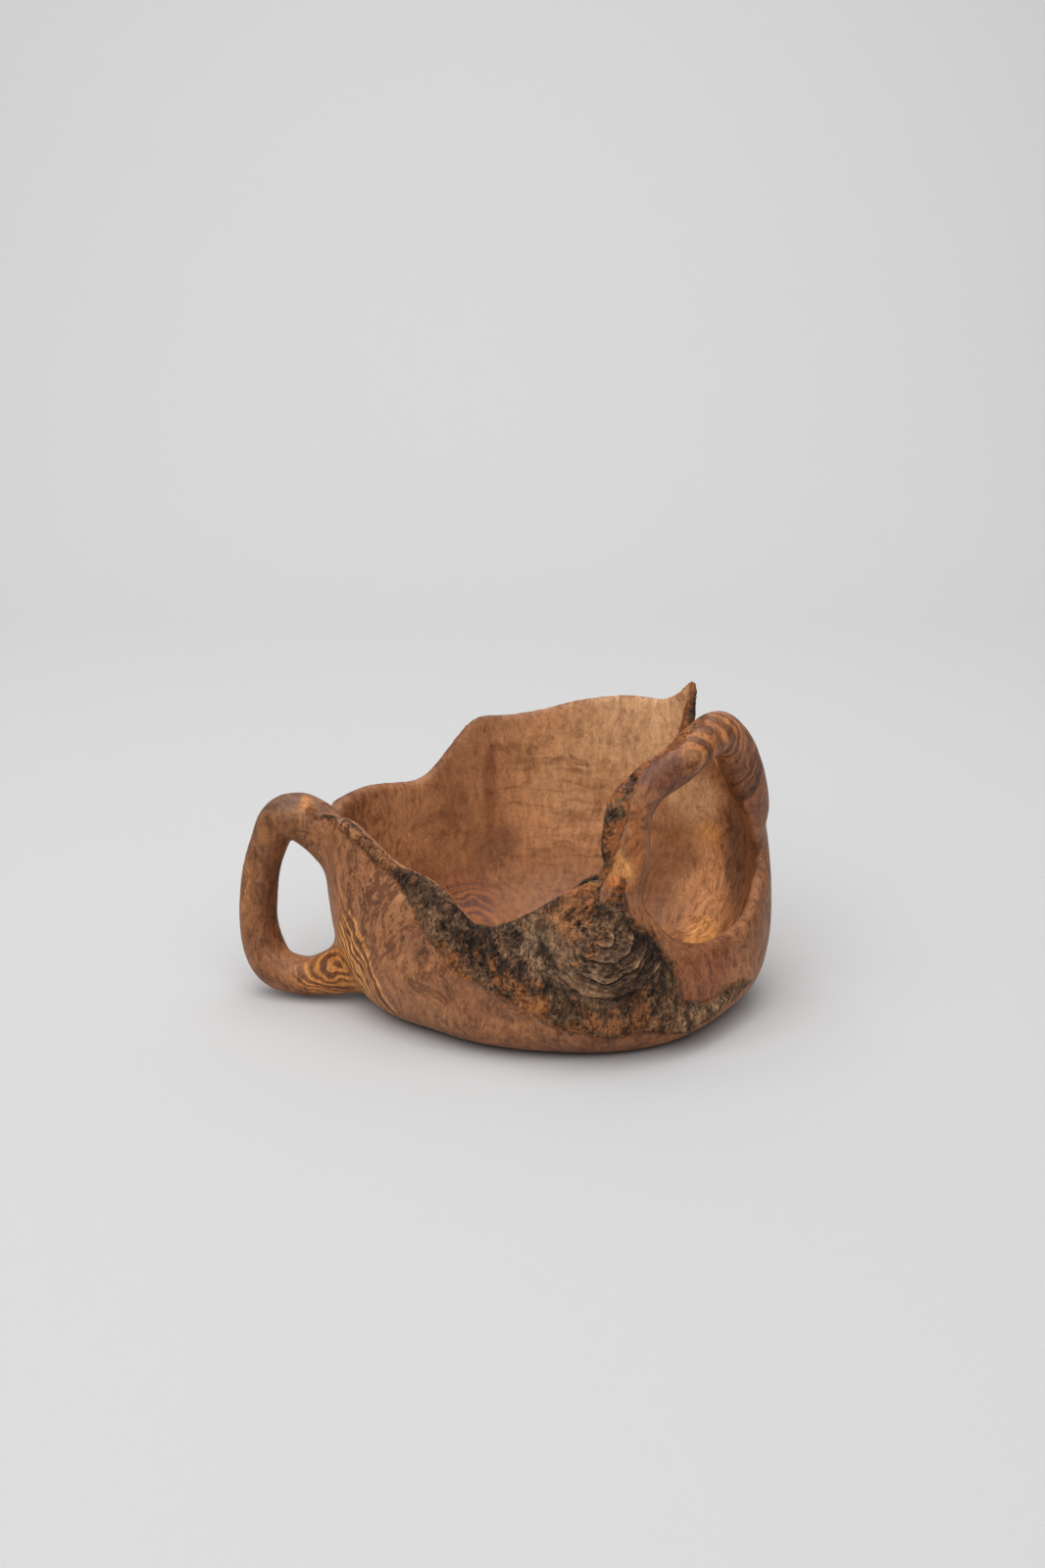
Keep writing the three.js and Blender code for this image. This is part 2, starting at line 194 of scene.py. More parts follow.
class Graph:
    """Builds a node tree, for a shader or for geometry."""

    def __init__(self, tree: NodeTree) -> None:
        """Keeps the tree that the nodes go into."""
        self.tree = tree

    def node(self, kind: str, inputs: Optional[dict[str, Feed]] = None, **settings: Any) -> Node:
        """Adds one node.

        Args:
            kind: The node's type name.
            inputs: Values or links by socket identifier or name.
            settings: Properties of the node, set first; stops holds a ramp's places and colours.

        Returns:
            The new node.
        """
        made = self.tree.nodes.new(kind)
        for name, value in settings.items():
            if name == "stops":
                self._set_stops(made.color_ramp, value)
            else:
                setattr(made, name, value)
        for name, value in (inputs or {}).items():
            self.feed(made, name, value)
        return made

    @staticmethod
    def _set_stops(ramp: ColorRamp, stops: Sequence[tuple[float, Tone]]) -> None:
        """Gives a colour ramp its stops.

        Args:
            ramp: The ramp.
            stops: Places along it with their colours.
        """
        while len(ramp.elements) < len(stops):
            ramp.elements.new(1.0)
        for element, (place, tone) in zip(ramp.elements, stops):
            element.position = place
            element.color = (*tone.linear, 1.0)

    @staticmethod
    def _socket(sockets: Any, name: str) -> NodeSocket:
        """Finds a socket.

        Args:
            sockets: A node's inputs or outputs.
            name: The socket's identifier, or else its name.

        Returns:
            The socket.
        """
        for socket in sockets:
            if socket.identifier == name:
                return socket
        return sockets[name]

    def feed(self, node: Node, name: str, value: Feed) -> None:
        """Links a signal to an input, or sets the input's own value.

        Args:
            node: The node whose input it is.
            name: The input's identifier or name.
            value: A signal, or a value for the socket itself.
        """
        socket = self._socket(node.inputs, name)
        if isinstance(value, Tone):
            value = value.linear
        if isinstance(value, Signal):
            self.tree.links.new(value.socket, socket)
        elif socket.type == "RGBA" and len(value) == 3:
            socket.default_value = (*value, 1.0)
        else:
            socket.default_value = value

    def read(self, node: Node, name: str) -> Signal:
        """The signal of a node's output."""
        return Signal(self, self._socket(node.outputs, name))

    def signal(self, kind: str, output: str, inputs: Optional[dict[str, Feed]] = None,
               **settings: Any) -> Signal:
        """Adds one node, with what node takes, and gives the signal of one of its outputs."""
        return self.read(self.node(kind, inputs, **settings), output)

    def math(self, operation: str, *values: Feed) -> Signal:
        """A Math node on numbers."""
        inputs = dict(zip(("Value", "Value_001"), values))
        return self.signal("ShaderNodeMath", "Value", inputs, operation=operation)

    def vector(self, operation: str, *values: Feed, output: str = "Vector") -> Signal:
        """A Vector Math node."""
        inputs = dict(zip(("Vector", "Vector_001"), values))
        return self.signal("ShaderNodeVectorMath", output, inputs, operation=operation)

    def scaled(self, vector: Feed, factor: Feed) -> Signal:
        """A vector or colour times a number."""
        inputs = {"Vector": vector, "Scale": factor}
        return self.signal("ShaderNodeVectorMath", "Vector", inputs, operation="SCALE")

    def away(self, at: Signal, middle: Triple, reach: Triple) -> Signal:
        """Distance of a place from a middle, as a share of half sizes."""
        share = self.vector("DIVIDE", self.vector("SUBTRACT", at, middle), reach)
        return self.vector("LENGTH", share, output="Value")

    def spread(self, value: Signal, low: float, high: float, start: float = 0.0, end: float = 1.0) -> Signal:
        """A smooth step of a number from one range to another.

        Args:
            value: The number.
            low: Where the step starts.
            high: Where it ends, which may be below low.
            start: Result at low.
            end: Result at high.

        Returns:
            The stepped number.
        """
        ends = (high, low, end, start) if low > high else (low, high, start, end)
        inputs = {"Value": value, **dict(zip(("From Min", "From Max", "To Min", "To Max"), ends))}
        return self.signal("ShaderNodeMapRange", "Result", inputs, interpolation_type="SMOOTHSTEP")

    def noise(self, at: Signal, size: float, detail: float = 3.0, rough: float = 0.5) -> Signal:
        """Cloudy noise from 0 to 1, with clouds of a size in the units of the coordinates."""
        inputs = {"Vector": at, "Scale": 1 / size, "Detail": detail, "Roughness": rough}
        return self.signal("ShaderNodeTexNoise", "Fac", inputs)

    def stretched(self, at: Signal, shares: Triple, detail: float, rough: float) -> Signal:
        """Noise drawn out along the directions that have small shares."""
        return self.noise(self.vector("MULTIPLY", at, shares), 1.0, detail, rough)

    def drift(self, at: Signal, size: float, reach: float) -> Signal:
        """Coordinates pushed about by noise.

        Args:
            at: Coordinates.
            size: Size of the noise's clouds.
            reach: How far they are pushed.

        Returns:
            The moved coordinates.
        """
        inputs = {"Vector": at, "Scale": 1 / size, "Detail": 2.0}
        push = self.vector("SUBTRACT", self.signal("ShaderNodeTexNoise", "Color", inputs), (0.5, 0.5, 0.5))
        return self.vector("ADD", at, self.scaled(push, 2 * reach))

    def cells(self, at: Signal, size: float) -> Signal:
        """A colour for each Voronoi cell of a size."""
        return self.signal("ShaderNodeTexVoronoi", "Color", {"Vector": at, "Scale": 1 / size}, feature="F1")

    def mix(self, factor: Feed, first: Feed, second: Feed, blend: str = "MIX") -> Signal:
        """A mix of two colours."""
        inputs = {"Factor_Float": factor, "A_Color": first, "B_Color": second}
        return self.signal("ShaderNodeMix", "Result_Color", inputs, data_type="RGBA", blend_type=blend)

    def ramp(self, value: Signal, stops: Sequence[tuple[float, Tone]]) -> Signal:
        """A colour ramp with stops at places along it."""
        return self.signal("ShaderNodeValToRGB", "Color", {"Fac": value}, stops=stops)

    def attribute(self, name: str) -> Signal:
        """A number stored on the mesh, read by a shader."""
        return self.signal("ShaderNodeAttribute", "Fac", attribute_name=name)

    def part(self, vector: Signal) -> tuple[Signal, Signal, Signal]:
        """The three parts of a vector."""
        node = self.node("ShaderNodeSeparateXYZ", {"Vector": vector})
        return self.read(node, "X"), self.read(node, "Y"), self.read(node, "Z")

    def whole(self, x: Feed, y: Feed, z: Feed) -> Signal:
        """A vector from three parts."""
        return self.signal("ShaderNodeCombineXYZ", "Vector", {"X": x, "Y": y, "Z": z})


class ShaderTree(Graph):
    """A material with one surface shader; at holds the object's coordinates in millimetres."""

    def __init__(self, name: str, roughness: float, shine: float) -> None:
        """Starts the material.

        Args:
            name: The material's name.
            roughness: How dull its surface is.
            shine: How strongly it mirrors the light.
        """
        self.material = bpy.data.materials.new(name)
        self.material.use_nodes = True
        super().__init__(self.material.node_tree)
        self.tree.nodes.clear()
        inputs = {"Roughness": roughness, "Specular IOR Level": shine}
        self.surface = self.node("ShaderNodeBsdfPrincipled", inputs)
        self.node("ShaderNodeOutputMaterial", {"Surface": self.read(self.surface, "BSDF")})
        self.at = self.scaled(self.signal("ShaderNodeTexCoord", "Object"), 1 / MM)

    def bump(self, height: Signal, strength: float) -> None:
        """Gives the surface small bumps of a height in millimetres."""
        inputs = {"Height": height, "Strength": strength, "Distance": MM}
        self.feed(self.surface, "Normal", self.signal("ShaderNodeBump", "Normal", inputs))


@dataclass(frozen=True)
class Patch:
    """A cloudy patch of another colour: its middle and half sizes, colour and strength."""

    middle: Triple
    reach: Triple
    tone: Tone
    strength: float

    def mask(self, graph: Graph, at: Signal, wobble: Signal) -> Signal:
        """How strongly the patch covers a place, with noise that makes its outline uneven."""
        distance = graph.away(at, self.middle, self.reach) + wobble
        return graph.spread(distance, *PATCH_EDGE, 0.0, self.strength)


@dataclass(frozen=True)
class Stripes:
    """Growth rings cut open at the surface, as uneven stripes round a middle.

    The reach gives the half sizes of the outermost ring and count the number of stripes on the way to it.
    They show where the patch lies, whose tone is that of the light stripes.
    """

    middle: Triple
    reach: Triple
    count: float
    seen: Patch
    dark: Tone

    def paint(self, graph: Graph, at: Signal, wobble: Signal, colour: Signal) -> Signal:
        """Lays the stripes over a colour.

        Args:
            graph: The wood's graph.
            at: Coordinates in millimetres.
            wobble: Noise that makes the outline uneven.
            colour: The wood's colour so far.

        Returns:
            The colour with the stripes.
        """
        turns = graph.away(at, self.middle, self.reach) * self.count
        stripe = striped(graph, turns, self.seen.tone, self.dark)
        return graph.mix(self.seen.mask(graph, at, wobble), colour, stripe)


def striped(graph: Graph, turns: Signal, light: Tone, dark: Tone) -> Signal:
    """Uneven stripes along a number.

    Args:
        graph: The wood's graph.
        turns: The number, with about one dark stripe to each whole step of it.
        light: Colour of the light stripes.
        dark: Colour of the dark stripes.

    Returns:
        The colour.
    """
    broad = graph.noise(graph.whole(turns, 0.0, 0.0), BROAD_STRIPE, 0.0)
    thin = graph.noise(graph.whole(turns, 7.0, 0.0), THIN_STRIPE, 0.0)
    return graph.mix(graph.spread(broad + (thin - 0.5) * 0.5, 0.56, 0.42), light, dark)


ROOT_EYE = Stripes(
    middle=(-139, -35, 38), reach=(46, 46, 24), count=4.2,
    seen=Patch((-147, -33, 28), (38, 40, 34), Tone.OCHRE, 0.98), dark=Tone.DARK_OCHRE,
)
ARCH_EYE = Stripes(
    middle=(150, -93, 237), reach=(60, 46, 60), count=4.5,
    seen=Patch((170, -70, 243), (48, 60, 36), Tone.LEATHER, 0.8), dark=Tone.UMBER,
)
LEG_BANDS = Stripes(
    middle=(150, -93, 237), reach=(60, 60, 60), count=4.0,
    seen=Patch((207, -34, 205), (30, 44, 40), Tone.RED_BROWN, 0.85), dark=Tone.DARK_UMBER,
)
HOLLOW_SWIRL = Stripes(
    middle=(-30, 96, 14), reach=(46, 52, 40), count=5.0,
    seen=Patch((-38, 104, 34), (46, 48, 36), Tone.STAIN, 0.95), dark=Tone.MAROON,
)
LOOP_RINGS = Stripes(
    middle=(-228, -12, 100), reach=(16, 24, 26), count=5.0,
    seen=Patch((-222, -12, 100), (13, 24, 22), Tone.OCHRE, 0.6), dark=Tone.DARK_OCHRE,
)
STRIPES = (ROOT_EYE, ARCH_EYE, LEG_BANDS, HOLLOW_SWIRL, LOOP_RINGS)

PATCHES = (
    Patch((60, 138, 150), (110, 70, 110), Tone.TAN, 1.0),
    Patch((117, 130, 201), (75, 60, 62), Tone.PALE_TAN, 0.9),
    Patch((-85, 95, 125), (60, 70, 60), Tone.SAND, 1.0),
    Patch((-20, 140, 162), (44, 50, 40), Tone.SAND, 0.8),
    Patch((-14, 143, 140), (9, 50, 64), Tone.RED_BROWN, 0.7),
    Patch((22, 145, 160), (9, 50, 26), Tone.UMBER, 0.3),
    Patch((60, 143, 145), (46, 60, 60), Tone.PALE_TAN, 0.5),
    Patch((-8, 137, 88), (28, 50, 30), Tone.UMBER, 0.55),
    Patch((-60, 120, 118), (22, 40, 9), Tone.UMBER, 0.4),
    Patch((-50, 100, 55), (45, 45, 30), Tone.RED_BROWN, 0.6),
    Patch((40, 126, 58), (56, 50, 34), Tone.WARM_BROWN, 0.65),
    Patch((177, 77, 73), (38, 60, 70), Tone.TAN, 0.8),
    # Paler upper wall of the window under the arch: painted light that lifts the arch's shadow there.
    Patch((166, 92, 146), (34, 60, 34), Tone.PALE_TAN, 0.95),
    Patch((160, 93, 85), (14, 40, 20), Tone.UMBER, 0.35),
    Patch((181, 81, 118), (14, 40, 12), Tone.GOLDEN, 0.6),
    # Golden spot on the upward inner slope of the window sill: painted highlight.
    Patch((172, 43, 35), (20, 40, 22), Tone.GOLDEN, 0.75),
    # Dark band down the inner face of the right wall below the arch: painted shadow of the arch.
    Patch((201, 50, 105), (13, 60, 80), Tone.GREY_BROWN, 0.8),
    Patch((160, -105, 57), (50, 50, 42), Tone.RED_BROWN, 0.85),
    Patch((126, -105, 227), (36, 34, 21), Tone.MAROON, 0.85),
    Patch((152, -91, 237), (8, 14, 8), Tone.GOLDEN, 0.7),
    Patch((106, -120, 172), (12, 22, 46), Tone.STAIN, 0.8),
    Patch((92, -124, 152), (15, 26, 18), Tone.GOLDEN, 0.75),
    Patch((91, -124, 144), (12, 26, 10), Tone.ORANGE, 0.6),
    Patch((-205, 0, 100), (60, 60, 130), Tone.OLIVE_BROWN, 0.9),
    Patch((-197, 0, 92), (16, 40, 66), Tone.UMBER, 0.7),
    Patch((-188, 0, 180), (48, 44, 26), Tone.GREY_BROWN, 0.9),
    Patch((-224, -10, 95), (12, 34, 55), Tone.OCHRE, 0.4),
    Patch((50, -130, 22), (75, 60, 22), Tone.UMBER, 0.4),
    Patch((-70, -108, 40), (50, 60, 26), Tone.SAND, 0.3),
    Patch((-68, -106, 88), (24, 40, 26), Tone.UMBER, 0.6),
    Patch((-30, -128, 60), (36, 50, 16), Tone.UMBER, 0.5),
    Patch((6, -144, 46), (40, 50, 13), Tone.UMBER, 0.45),
    Patch((-88, -84, 128), (30, 40, 18), Tone.SAND, 0.6),
    Patch((-120, -55, 130), (26, 40, 26), Tone.RED_BROWN, 0.25),
    Patch((-165, -8, 172), (7, 16, 9), Tone.OCHRE, 0.8),
    Patch((-128, -44, 40), (50, 50, 50), Tone.OCHRE, 0.9),
)
BARK_PATCHES = (
    Patch((-18, -125, 90), (40, 60, 32), Tone.BARK_BLACK, 0.75),
    Patch((28, -136, 98), (18, 40, 16), Tone.BARK_PALE, 0.5),
    Patch((5, -142, 68), (16, 40, 12), Tone.BARK_DARK, 0.7),
    Patch((80, -157, 48), (34, 40, 12), Tone.BARK_DARK, 0.6),
    Patch((112, -140, 98), (24, 60, 46), Tone.BARK_BLACK, 0.75),
    Patch((55, -146, 96), (36, 60, 30), Tone.BARK_GREY, 0.45),
    Patch((56, -133, 126), (26, 40, 26), Tone.RUST, 0.5),
    Patch((80, -155, 36), (85, 60, 18), Tone.RUST, 0.5),
    Patch((-42, -118, 76), (24, 50, 16), Tone.RUST, 0.6),
    Patch((10, -140, 56), (30, 50, 14), Tone.RUST, 0.6),
    Patch((-105, -65, 154), (50, 80, 20), Tone.WARM_BROWN, 0.7),
    Patch((165, -115, 34), (40, 60, 18), Tone.BARK_PALE, 0.4),
    Patch((85, -120, 185), (30, 50, 50), Tone.STAIN, 0.5),
    Patch((166, 113, 224), (20, 40, 50), Tone.UMBER, 0.6),
)


@dataclass(frozen=True)
class BurlFinish:
    """Oiled burl: cloudy colour, swirling figure, streaks, curl across the hollow, root stripes, fibres.

    A drift has the size of its clouds and how far it pushes. Streak, fibre and curl are drawn out along the
    directions that have small shares.
    """

    broad_drift: Pair = (70.0, 24.0)
    swirl_drift: Pair = (20.0, 8.0)
    bend_drift: Pair = (20.0, 7.0)
    cloud: float = 80.0
    figure: float = 30.0
    mottle: float = 10.0
    figure_lines: float = 12.0
    mottle_lines: float = 5.0
    streak: Triple = (0.22, 0.22, 0.05)
    fibre: Triple = (1.0, 1.0, 0.2)
    curl: Triple = (0.02, 0.02, 0.15)
    curl_depth: float = 0.3
    curled: Patch = Patch((40, 138, 112), (110, 80, 95), Tone.TAN, 1.0)
    root_start: Triple = (-133, -48, 94)
    root_across: Triple = (0.86, -0.12, 0.5)
    root_step: float = 8.0
    root_seen: Patch = Patch((-114, -60, 50), (60, 80, 80), Tone.OCHRE, 0.95)
    stain: float = 0.9
    contrast: float = 1.4
    calm: float = 0.65
    lively: Patch = Patch((-85, -90, 112), (90, 90, 60), Tone.BROWN, 1.6)
    hollow: Patch = Patch((50, 110, 120), (170, 90, 150), Tone.TAN, 1.0)
    wear_highlight_and_shade: float = 0.4
    dark: Triple = (0.48, 0.41, 0.36)
    light: Triple = (1.45, 1.5, 1.55)
    torn: float = 0.85
    roughness: float = 0.52
    rough_change: float = 0.16
    shine: float = 0.35
    bump: float = 0.15

    def material(self) -> Material:
        """Builds the wood's material.

        Returns:
            The material, which reads the nearness of bark, the stain, and the wear, highlight and shade
            stored on the mesh.
        """
        graph = ShaderTree("burl_wood", self.roughness, self.shine)
        drifted = graph.drift(graph.at, *self.broad_drift)
        swirled = graph.drift(drifted, *self.swirl_drift)
        bent = graph.drift(graph.at, *self.bend_drift)
        figure = graph.noise(swirled, self.figure, 5.0, 0.55)
        mottle = graph.noise(swirled, self.mottle, 3.0, 0.55)
        wobble = (figure - 0.5) * 0.9 + (mottle - 0.5) * 0.25

        hollow = self.hollow.mask(graph, graph.at, wobble * 0.5)
        contrast = self.lively.mask(graph, graph.at, wobble) - hollow * self.calm + self.contrast
        straight = graph.stretched(bent, self.streak, 4.0, 0.6)
        flow = graph.stretched(swirled, self.streak, 4.0, 0.6)
        flow = flow + (straight - flow) * hollow
        shade = 0.5 + (self._grain(graph, bent, flow, figure, mottle) - 0.5) * contrast
        shade = shade - self._curl(graph, bent, wobble) * self.curl_depth
        # Lighter on convex edges: wear and a painted highlight. Darker in concave creases: painted shade.
        # Darker on the back rim's edges: a dark natural edge and painted shade.
        shade = shade + graph.attribute("wear_highlight_and_shade") * self.wear_highlight_and_shade

        colour = self._colour(graph, graph.noise(drifted, self.cloud, 3.0), bent, wobble)
        dark = graph.mix(1.0, colour, self.dark, "MULTIPLY")
        light = graph.mix(1.0, colour, self.light, "MULTIPLY")
        torn = self._torn(graph, figure - 0.5, mottle - 0.5)
        colour = graph.mix(torn * self.torn, graph.mix(shade, dark, light), Tone.BARK_DARK)
        graph.feed(graph.surface, "Base Color", colour)
        graph.feed(graph.surface, "Roughness", self.roughness + (mottle - 0.5) * self.rough_change)
        graph.bump(shade, self.bump)
        return graph.material

    def _colour(self, graph: ShaderTree, cloud: Signal, bent: Signal, wobble: Signal) -> Signal:
        """Broad colour of the wood: clouds, patches, growth rings, root stripes and stain.

        Args:
            graph: The wood's graph.
            cloud: Noise that mixes the two ground colours.
            bent: Coordinates with a slight drift.
            wobble: Noise that makes outlines uneven.

        Returns:
            The colour.
        """
        colour = graph.mix(graph.spread(cloud, 0.36, 0.68), Tone.BROWN, Tone.WARM_BROWN)
        for patch in PATCHES:
            colour = graph.mix(patch.mask(graph, graph.at, wobble), colour, patch.tone)
        for stripes in STRIPES:
            colour = stripes.paint(graph, bent, wobble * 0.25, colour)
        colour = self._root_streaks(graph, bent, wobble, colour)
        stain = graph.spread(graph.attribute("stain") + wobble * 0.6, 0.25, 0.9, 0.0, self.stain)
        return graph.mix(stain, colour, Tone.STAIN)

    def _grain(self, graph: Graph, bent: Signal, flow: Signal, figure: Signal, mottle: Signal) -> Signal:
        """Light and dark of the figure, its contour lines, the streaks and the fibres.

        Args:
            graph: The wood's graph.
            bent: Coordinates with a slight drift.
            flow: The streaks.
            figure: The broad figure.
            mottle: The fine figure.

        Returns:
            A number about 0.5.
        """
        loop = graph.math("FRACT", figure * self.figure_lines + mottle * 0.5)
        squiggle = graph.math("FRACT", mottle * self.mottle_lines)
        dark_line = graph.spread(abs(loop - 0.5), 0.14, 0.0)
        light_line = graph.spread(abs(squiggle - 0.5), 0.2, 0.0)
        fibre = graph.stretched(bent, self.fibre, 2.0, 0.6)
        soft = (figure - 0.5) * 0.8 + (mottle - 0.5) * 0.7 + (flow - 0.5) * 1.5 + (fibre - 0.5) * 0.6
        return soft - (dark_line - 0.14) * 0.2 + (light_line - 0.2) * 0.14 + 0.5

    def _curl(self, graph: ShaderTree, bent: Signal, wobble: Signal) -> Signal:
        """Dark ripples that lie across the back of the hollow, from 0 to 1."""
        ripple = graph.spread(graph.stretched(bent, self.curl, 2.0, 0.5), 0.56, 0.34)
        return ripple * self.curled.mask(graph, graph.at, wobble)

    def _root_streaks(self, graph: Graph, bent: Signal, wobble: Signal, colour: Signal) -> Signal:
        """Lays the long stripes over the foot of the loop handle.

        Args:
            graph: The wood's graph.
            bent: Coordinates with a slight drift.
            wobble: Noise that makes the stripes uneven.
            colour: The wood's colour so far.

        Returns:
            The colour with the stripes.
        """
        away = graph.vector("SUBTRACT", bent, self.root_start)
        across = graph.vector("DOT_PRODUCT", away, self.root_across, output="Value") + wobble * 3.0
        _, _, height = graph.part(bent)
        width = graph.spread(height, 98.0, 60.0, 1.0, 22.0)
        inside = graph.spread(across + width, -2.0, 2.0) * graph.spread(across, 9.0, 6.0)
        stripe = striped(graph, across / self.root_step, Tone.GOLDEN, Tone.DARK_OCHRE)
        return graph.mix(inside * self.root_seen.mask(graph, bent, wobble * 0.3), colour, stripe)

    @staticmethod
    def _torn(graph: Graph, figure: Signal, mottle: Signal) -> Signal:
        """Crumbs of bark left on the wood along the bark, and islands of it below.

        Args:
            graph: The wood's graph.
            figure: The broad figure, about 0.
            mottle: The fine figure, about 0.

        Returns:
            How much bark is left, from 0 to 1.
        """
        near = graph.attribute("bark_near")
        crumbs = graph.spread(near + figure * 10.0 + mottle * 12.0, -1.0, 2.0)
        islands = graph.spread(near * 0.8 + figure * 20.0 + mottle * 44.0, -3.0, 1.0)
        return graph.math("MAXIMUM", crumbs, islands * graph.spread(graph.attribute("stain"), 0.15, 0.5))


@dataclass(frozen=True)
class BarkFinish:
    """Dry bark: grey-brown strands, black cracks and rust where the inner bark shows."""

    crumb: float = 1.3
    patch_drift: Pair = (26.0, 8.0)
    patch_size: float = 20.0
    ragged_drift: Pair = (9.0, 4.0)
    ragged_size: float = 12.0
    dull: Triple = (0.7, 0.7, 0.68)
    warm: Triple = (1.25, 1.18, 1.08)
    roughness: float = 0.88
    shine: float = 0.25
    bump: float = 0.6

    def material(self) -> Material:
        """Builds the bark's material.

        Returns:
            The material, which reads what the relief stored on the mesh.
        """
        graph = ShaderTree("natural_bark", self.roughness, self.shine)
        crumb = graph.noise(graph.at, self.crumb, 4.0, 0.65)
        patchy = graph.noise(graph.drift(graph.at, *self.patch_drift), self.patch_size, 4.0, 0.6)
        ragged = graph.noise(graph.drift(graph.at, *self.ragged_drift), self.ragged_size, 2.0, 0.5)
        level = graph.attribute("rise") + (crumb - 0.5) * 0.7 + (patchy - 0.5) * 0.6
        colour = graph.ramp(level, (
            (0.05, Tone.BARK_BLACK),
            (0.34, Tone.BARK_DARK),
            (0.54, Tone.BARK_BROWN),
            (0.74, Tone.BARK_GREY),
            (0.98, Tone.BARK_PALE),
        ))
        tint = graph.mix(graph.spread(patchy, 0.38, 0.62), self.dull, self.warm)
        colour = graph.mix(1.0, colour, tint, "MULTIPLY")
        shade = graph.spread(level, 0.15, 0.85, 0.3, 1.6)
        for patch in BARK_PATCHES:
            mask = patch.mask(graph, graph.at, (ragged - 0.5) * 5.0)
            colour = graph.mix(mask, colour, graph.scaled(patch.tone, shade))
        rusty = graph.mix(graph.spread(crumb, 0.35, 0.65), Tone.RED_BROWN, Tone.RUST)
        rust = graph.attribute("rust") * graph.spread(level, 0.15, 0.45, 0.3, 0.85)
        colour = graph.mix(rust, colour, rusty)
        colour = graph.mix(graph.spread(graph.attribute("edge"), 3.5, 0.0, 0.0, 0.7), colour, Tone.STAIN)
        colour = graph.mix(graph.attribute("fissure") * 0.75, colour, Tone.BARK_BLACK)
        graph.feed(graph.surface, "Base Color", colour)
        graph.bump(crumb, self.bump)
        return graph.material


def new_object(name: str, mesh: Mesh) -> Object:
    """Links a mesh into the scene at the origin.

    Args:
        name: The object's name.
        mesh: The mesh.

    Returns:
        The object.
    """
    made = bpy.data.objects.new(name, mesh)
    bpy.context.scene.collection.objects.link(made)
    return made


def baked(obj: Object) -> Mesh:
    """Turns an object with its modifiers into a plain mesh and removes the object.

    Args:
        obj: The object to evaluate.

    Returns:
        The evaluated mesh.
    """
    depsgraph = bpy.context.evaluated_depsgraph_get()
    mesh = bpy.data.meshes.new_from_object(obj.evaluated_get(depsgraph), depsgraph=depsgraph)
    bpy.data.objects.remove(obj)
    return mesh


def subdivided(mesh: Mesh) -> Mesh:
    """A finer, rounded copy of a mesh.

    Args:
        mesh: The mesh to round.

    Returns:
        The finer mesh.
    """
    carrier = new_object(mesh.name, mesh)
    rounding = carrier.modifiers.new("rounding", "SUBSURF")
    rounding.levels = FINER_LEVELS
    rounding.render_levels = FINER_LEVELS
    return baked(carrier)


def solid_tree(nodes: Iterable[Enum]) -> BVHTree:
    """A search tree over solids of the frame.

    Args:
        nodes: The solids.

    Returns:
        The tree.
    """
    solid = bmesh.new()
    for node in nodes:
        solid.from_mesh(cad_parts[node.value].data)
    tree = BVHTree.FromBMesh(solid)
    solid.free()
    return tree


def rows_of(items: Any, name: str, width: int) -> Array:
    """Numbers of a mesh's vertices, as an array of rows.

    Args:
        items: The mesh's collection that holds them.
        name: Their name in it.
        width: How many each vertex has.

    Returns:
        One row for each vertex.
    """
    flat = np.empty(len(items) * width, np.float32)
    items.foreach_get(name, flat)
    return flat.reshape(-1, width).astype(float)


def points_of(mesh: Mesh) -> Array:
    """Vertex places as an array of rows."""
    return rows_of(mesh.vertices, "co", 3)


def normals_of(mesh: Mesh) -> Array:
    """Vertex normals as an array of rows."""
    return rows_of(mesh.vertex_normals, "vector", 3)


def numbers_of(mesh: Mesh, names: Sequence[str]) -> dict[str, Array]:
    """Reads the named numbers of each vertex."""
    return {name: rows_of(mesh.attributes[name].data, "value", 1)[:, 0] for name in names}


def quads_of(mesh: Mesh) -> Array:
    """Vertex numbers of a mesh of quads.

    Args:
        mesh: The mesh.

    Returns:
        One row for each face.
    """
    flat = np.empty(len(mesh.loops), np.int32)
    mesh.loops.foreach_get("vertex_index", flat)
    return flat.reshape(-1, 4)


def renumbered(quads: Array) -> tuple[Array, Array]:
    """Numbers the vertices that some faces use afresh.

    Args:
        quads: Vertex numbers of the faces.

    Returns:
        The vertices in use, and the new number of each old one.
    """
    used = np.unique(quads)
    number = np.full(int(quads.max()) + 1, -1)
    number[used] = np.arange(len(used))
    return used, number


def set_points(mesh: Mesh, points: Array) -> None:
    """Moves a mesh's vertices."""
    mesh.vertices.foreach_set("co", points.astype(np.float32).ravel())
    mesh.update()


def set_numbers(mesh: Mesh, numbers: dict[str, Array]) -> None:
    """Stores named numbers for each vertex.

    Args:
        mesh: The mesh to store them on.
        numbers: The numbers by name.
    """
    for name, values in numbers.items():
        attribute = mesh.attributes.new(name, "FLOAT", "POINT")
        attribute.data.foreach_set("value", values.astype(np.float32))


def smoothstep(values: Array, low: float, high: float) -> Array:
    """A smooth step from 0 at low to 1 at high."""
    share = np.clip((values - low) / (high - low), 0, 1)
    return share * share * (3 - 2 * share)


def neighbour_mean(values: Array, quads: Array) -> Array:
    """The mean of each vertex's neighbours along the edges.

    Args:
        values: Rows of numbers for each vertex.
        quads: Vertex numbers of the faces.

    Returns:
        The means, in the same form.
    """
    first = quads.ravel()
    second = np.roll(quads, -1, axis=1).ravel()
    count = np.bincount(first, minlength=len(values)) + np.bincount(second, minlength=len(values))
    total = np.empty_like(values)
    for column in range(values.shape[1]):
        there = np.bincount(first, values[second, column], len(values))
        back = np.bincount(second, values[first, column], len(values))
        total[:, column] = there + back
    return total / np.maximum(count, 1)[:, None]


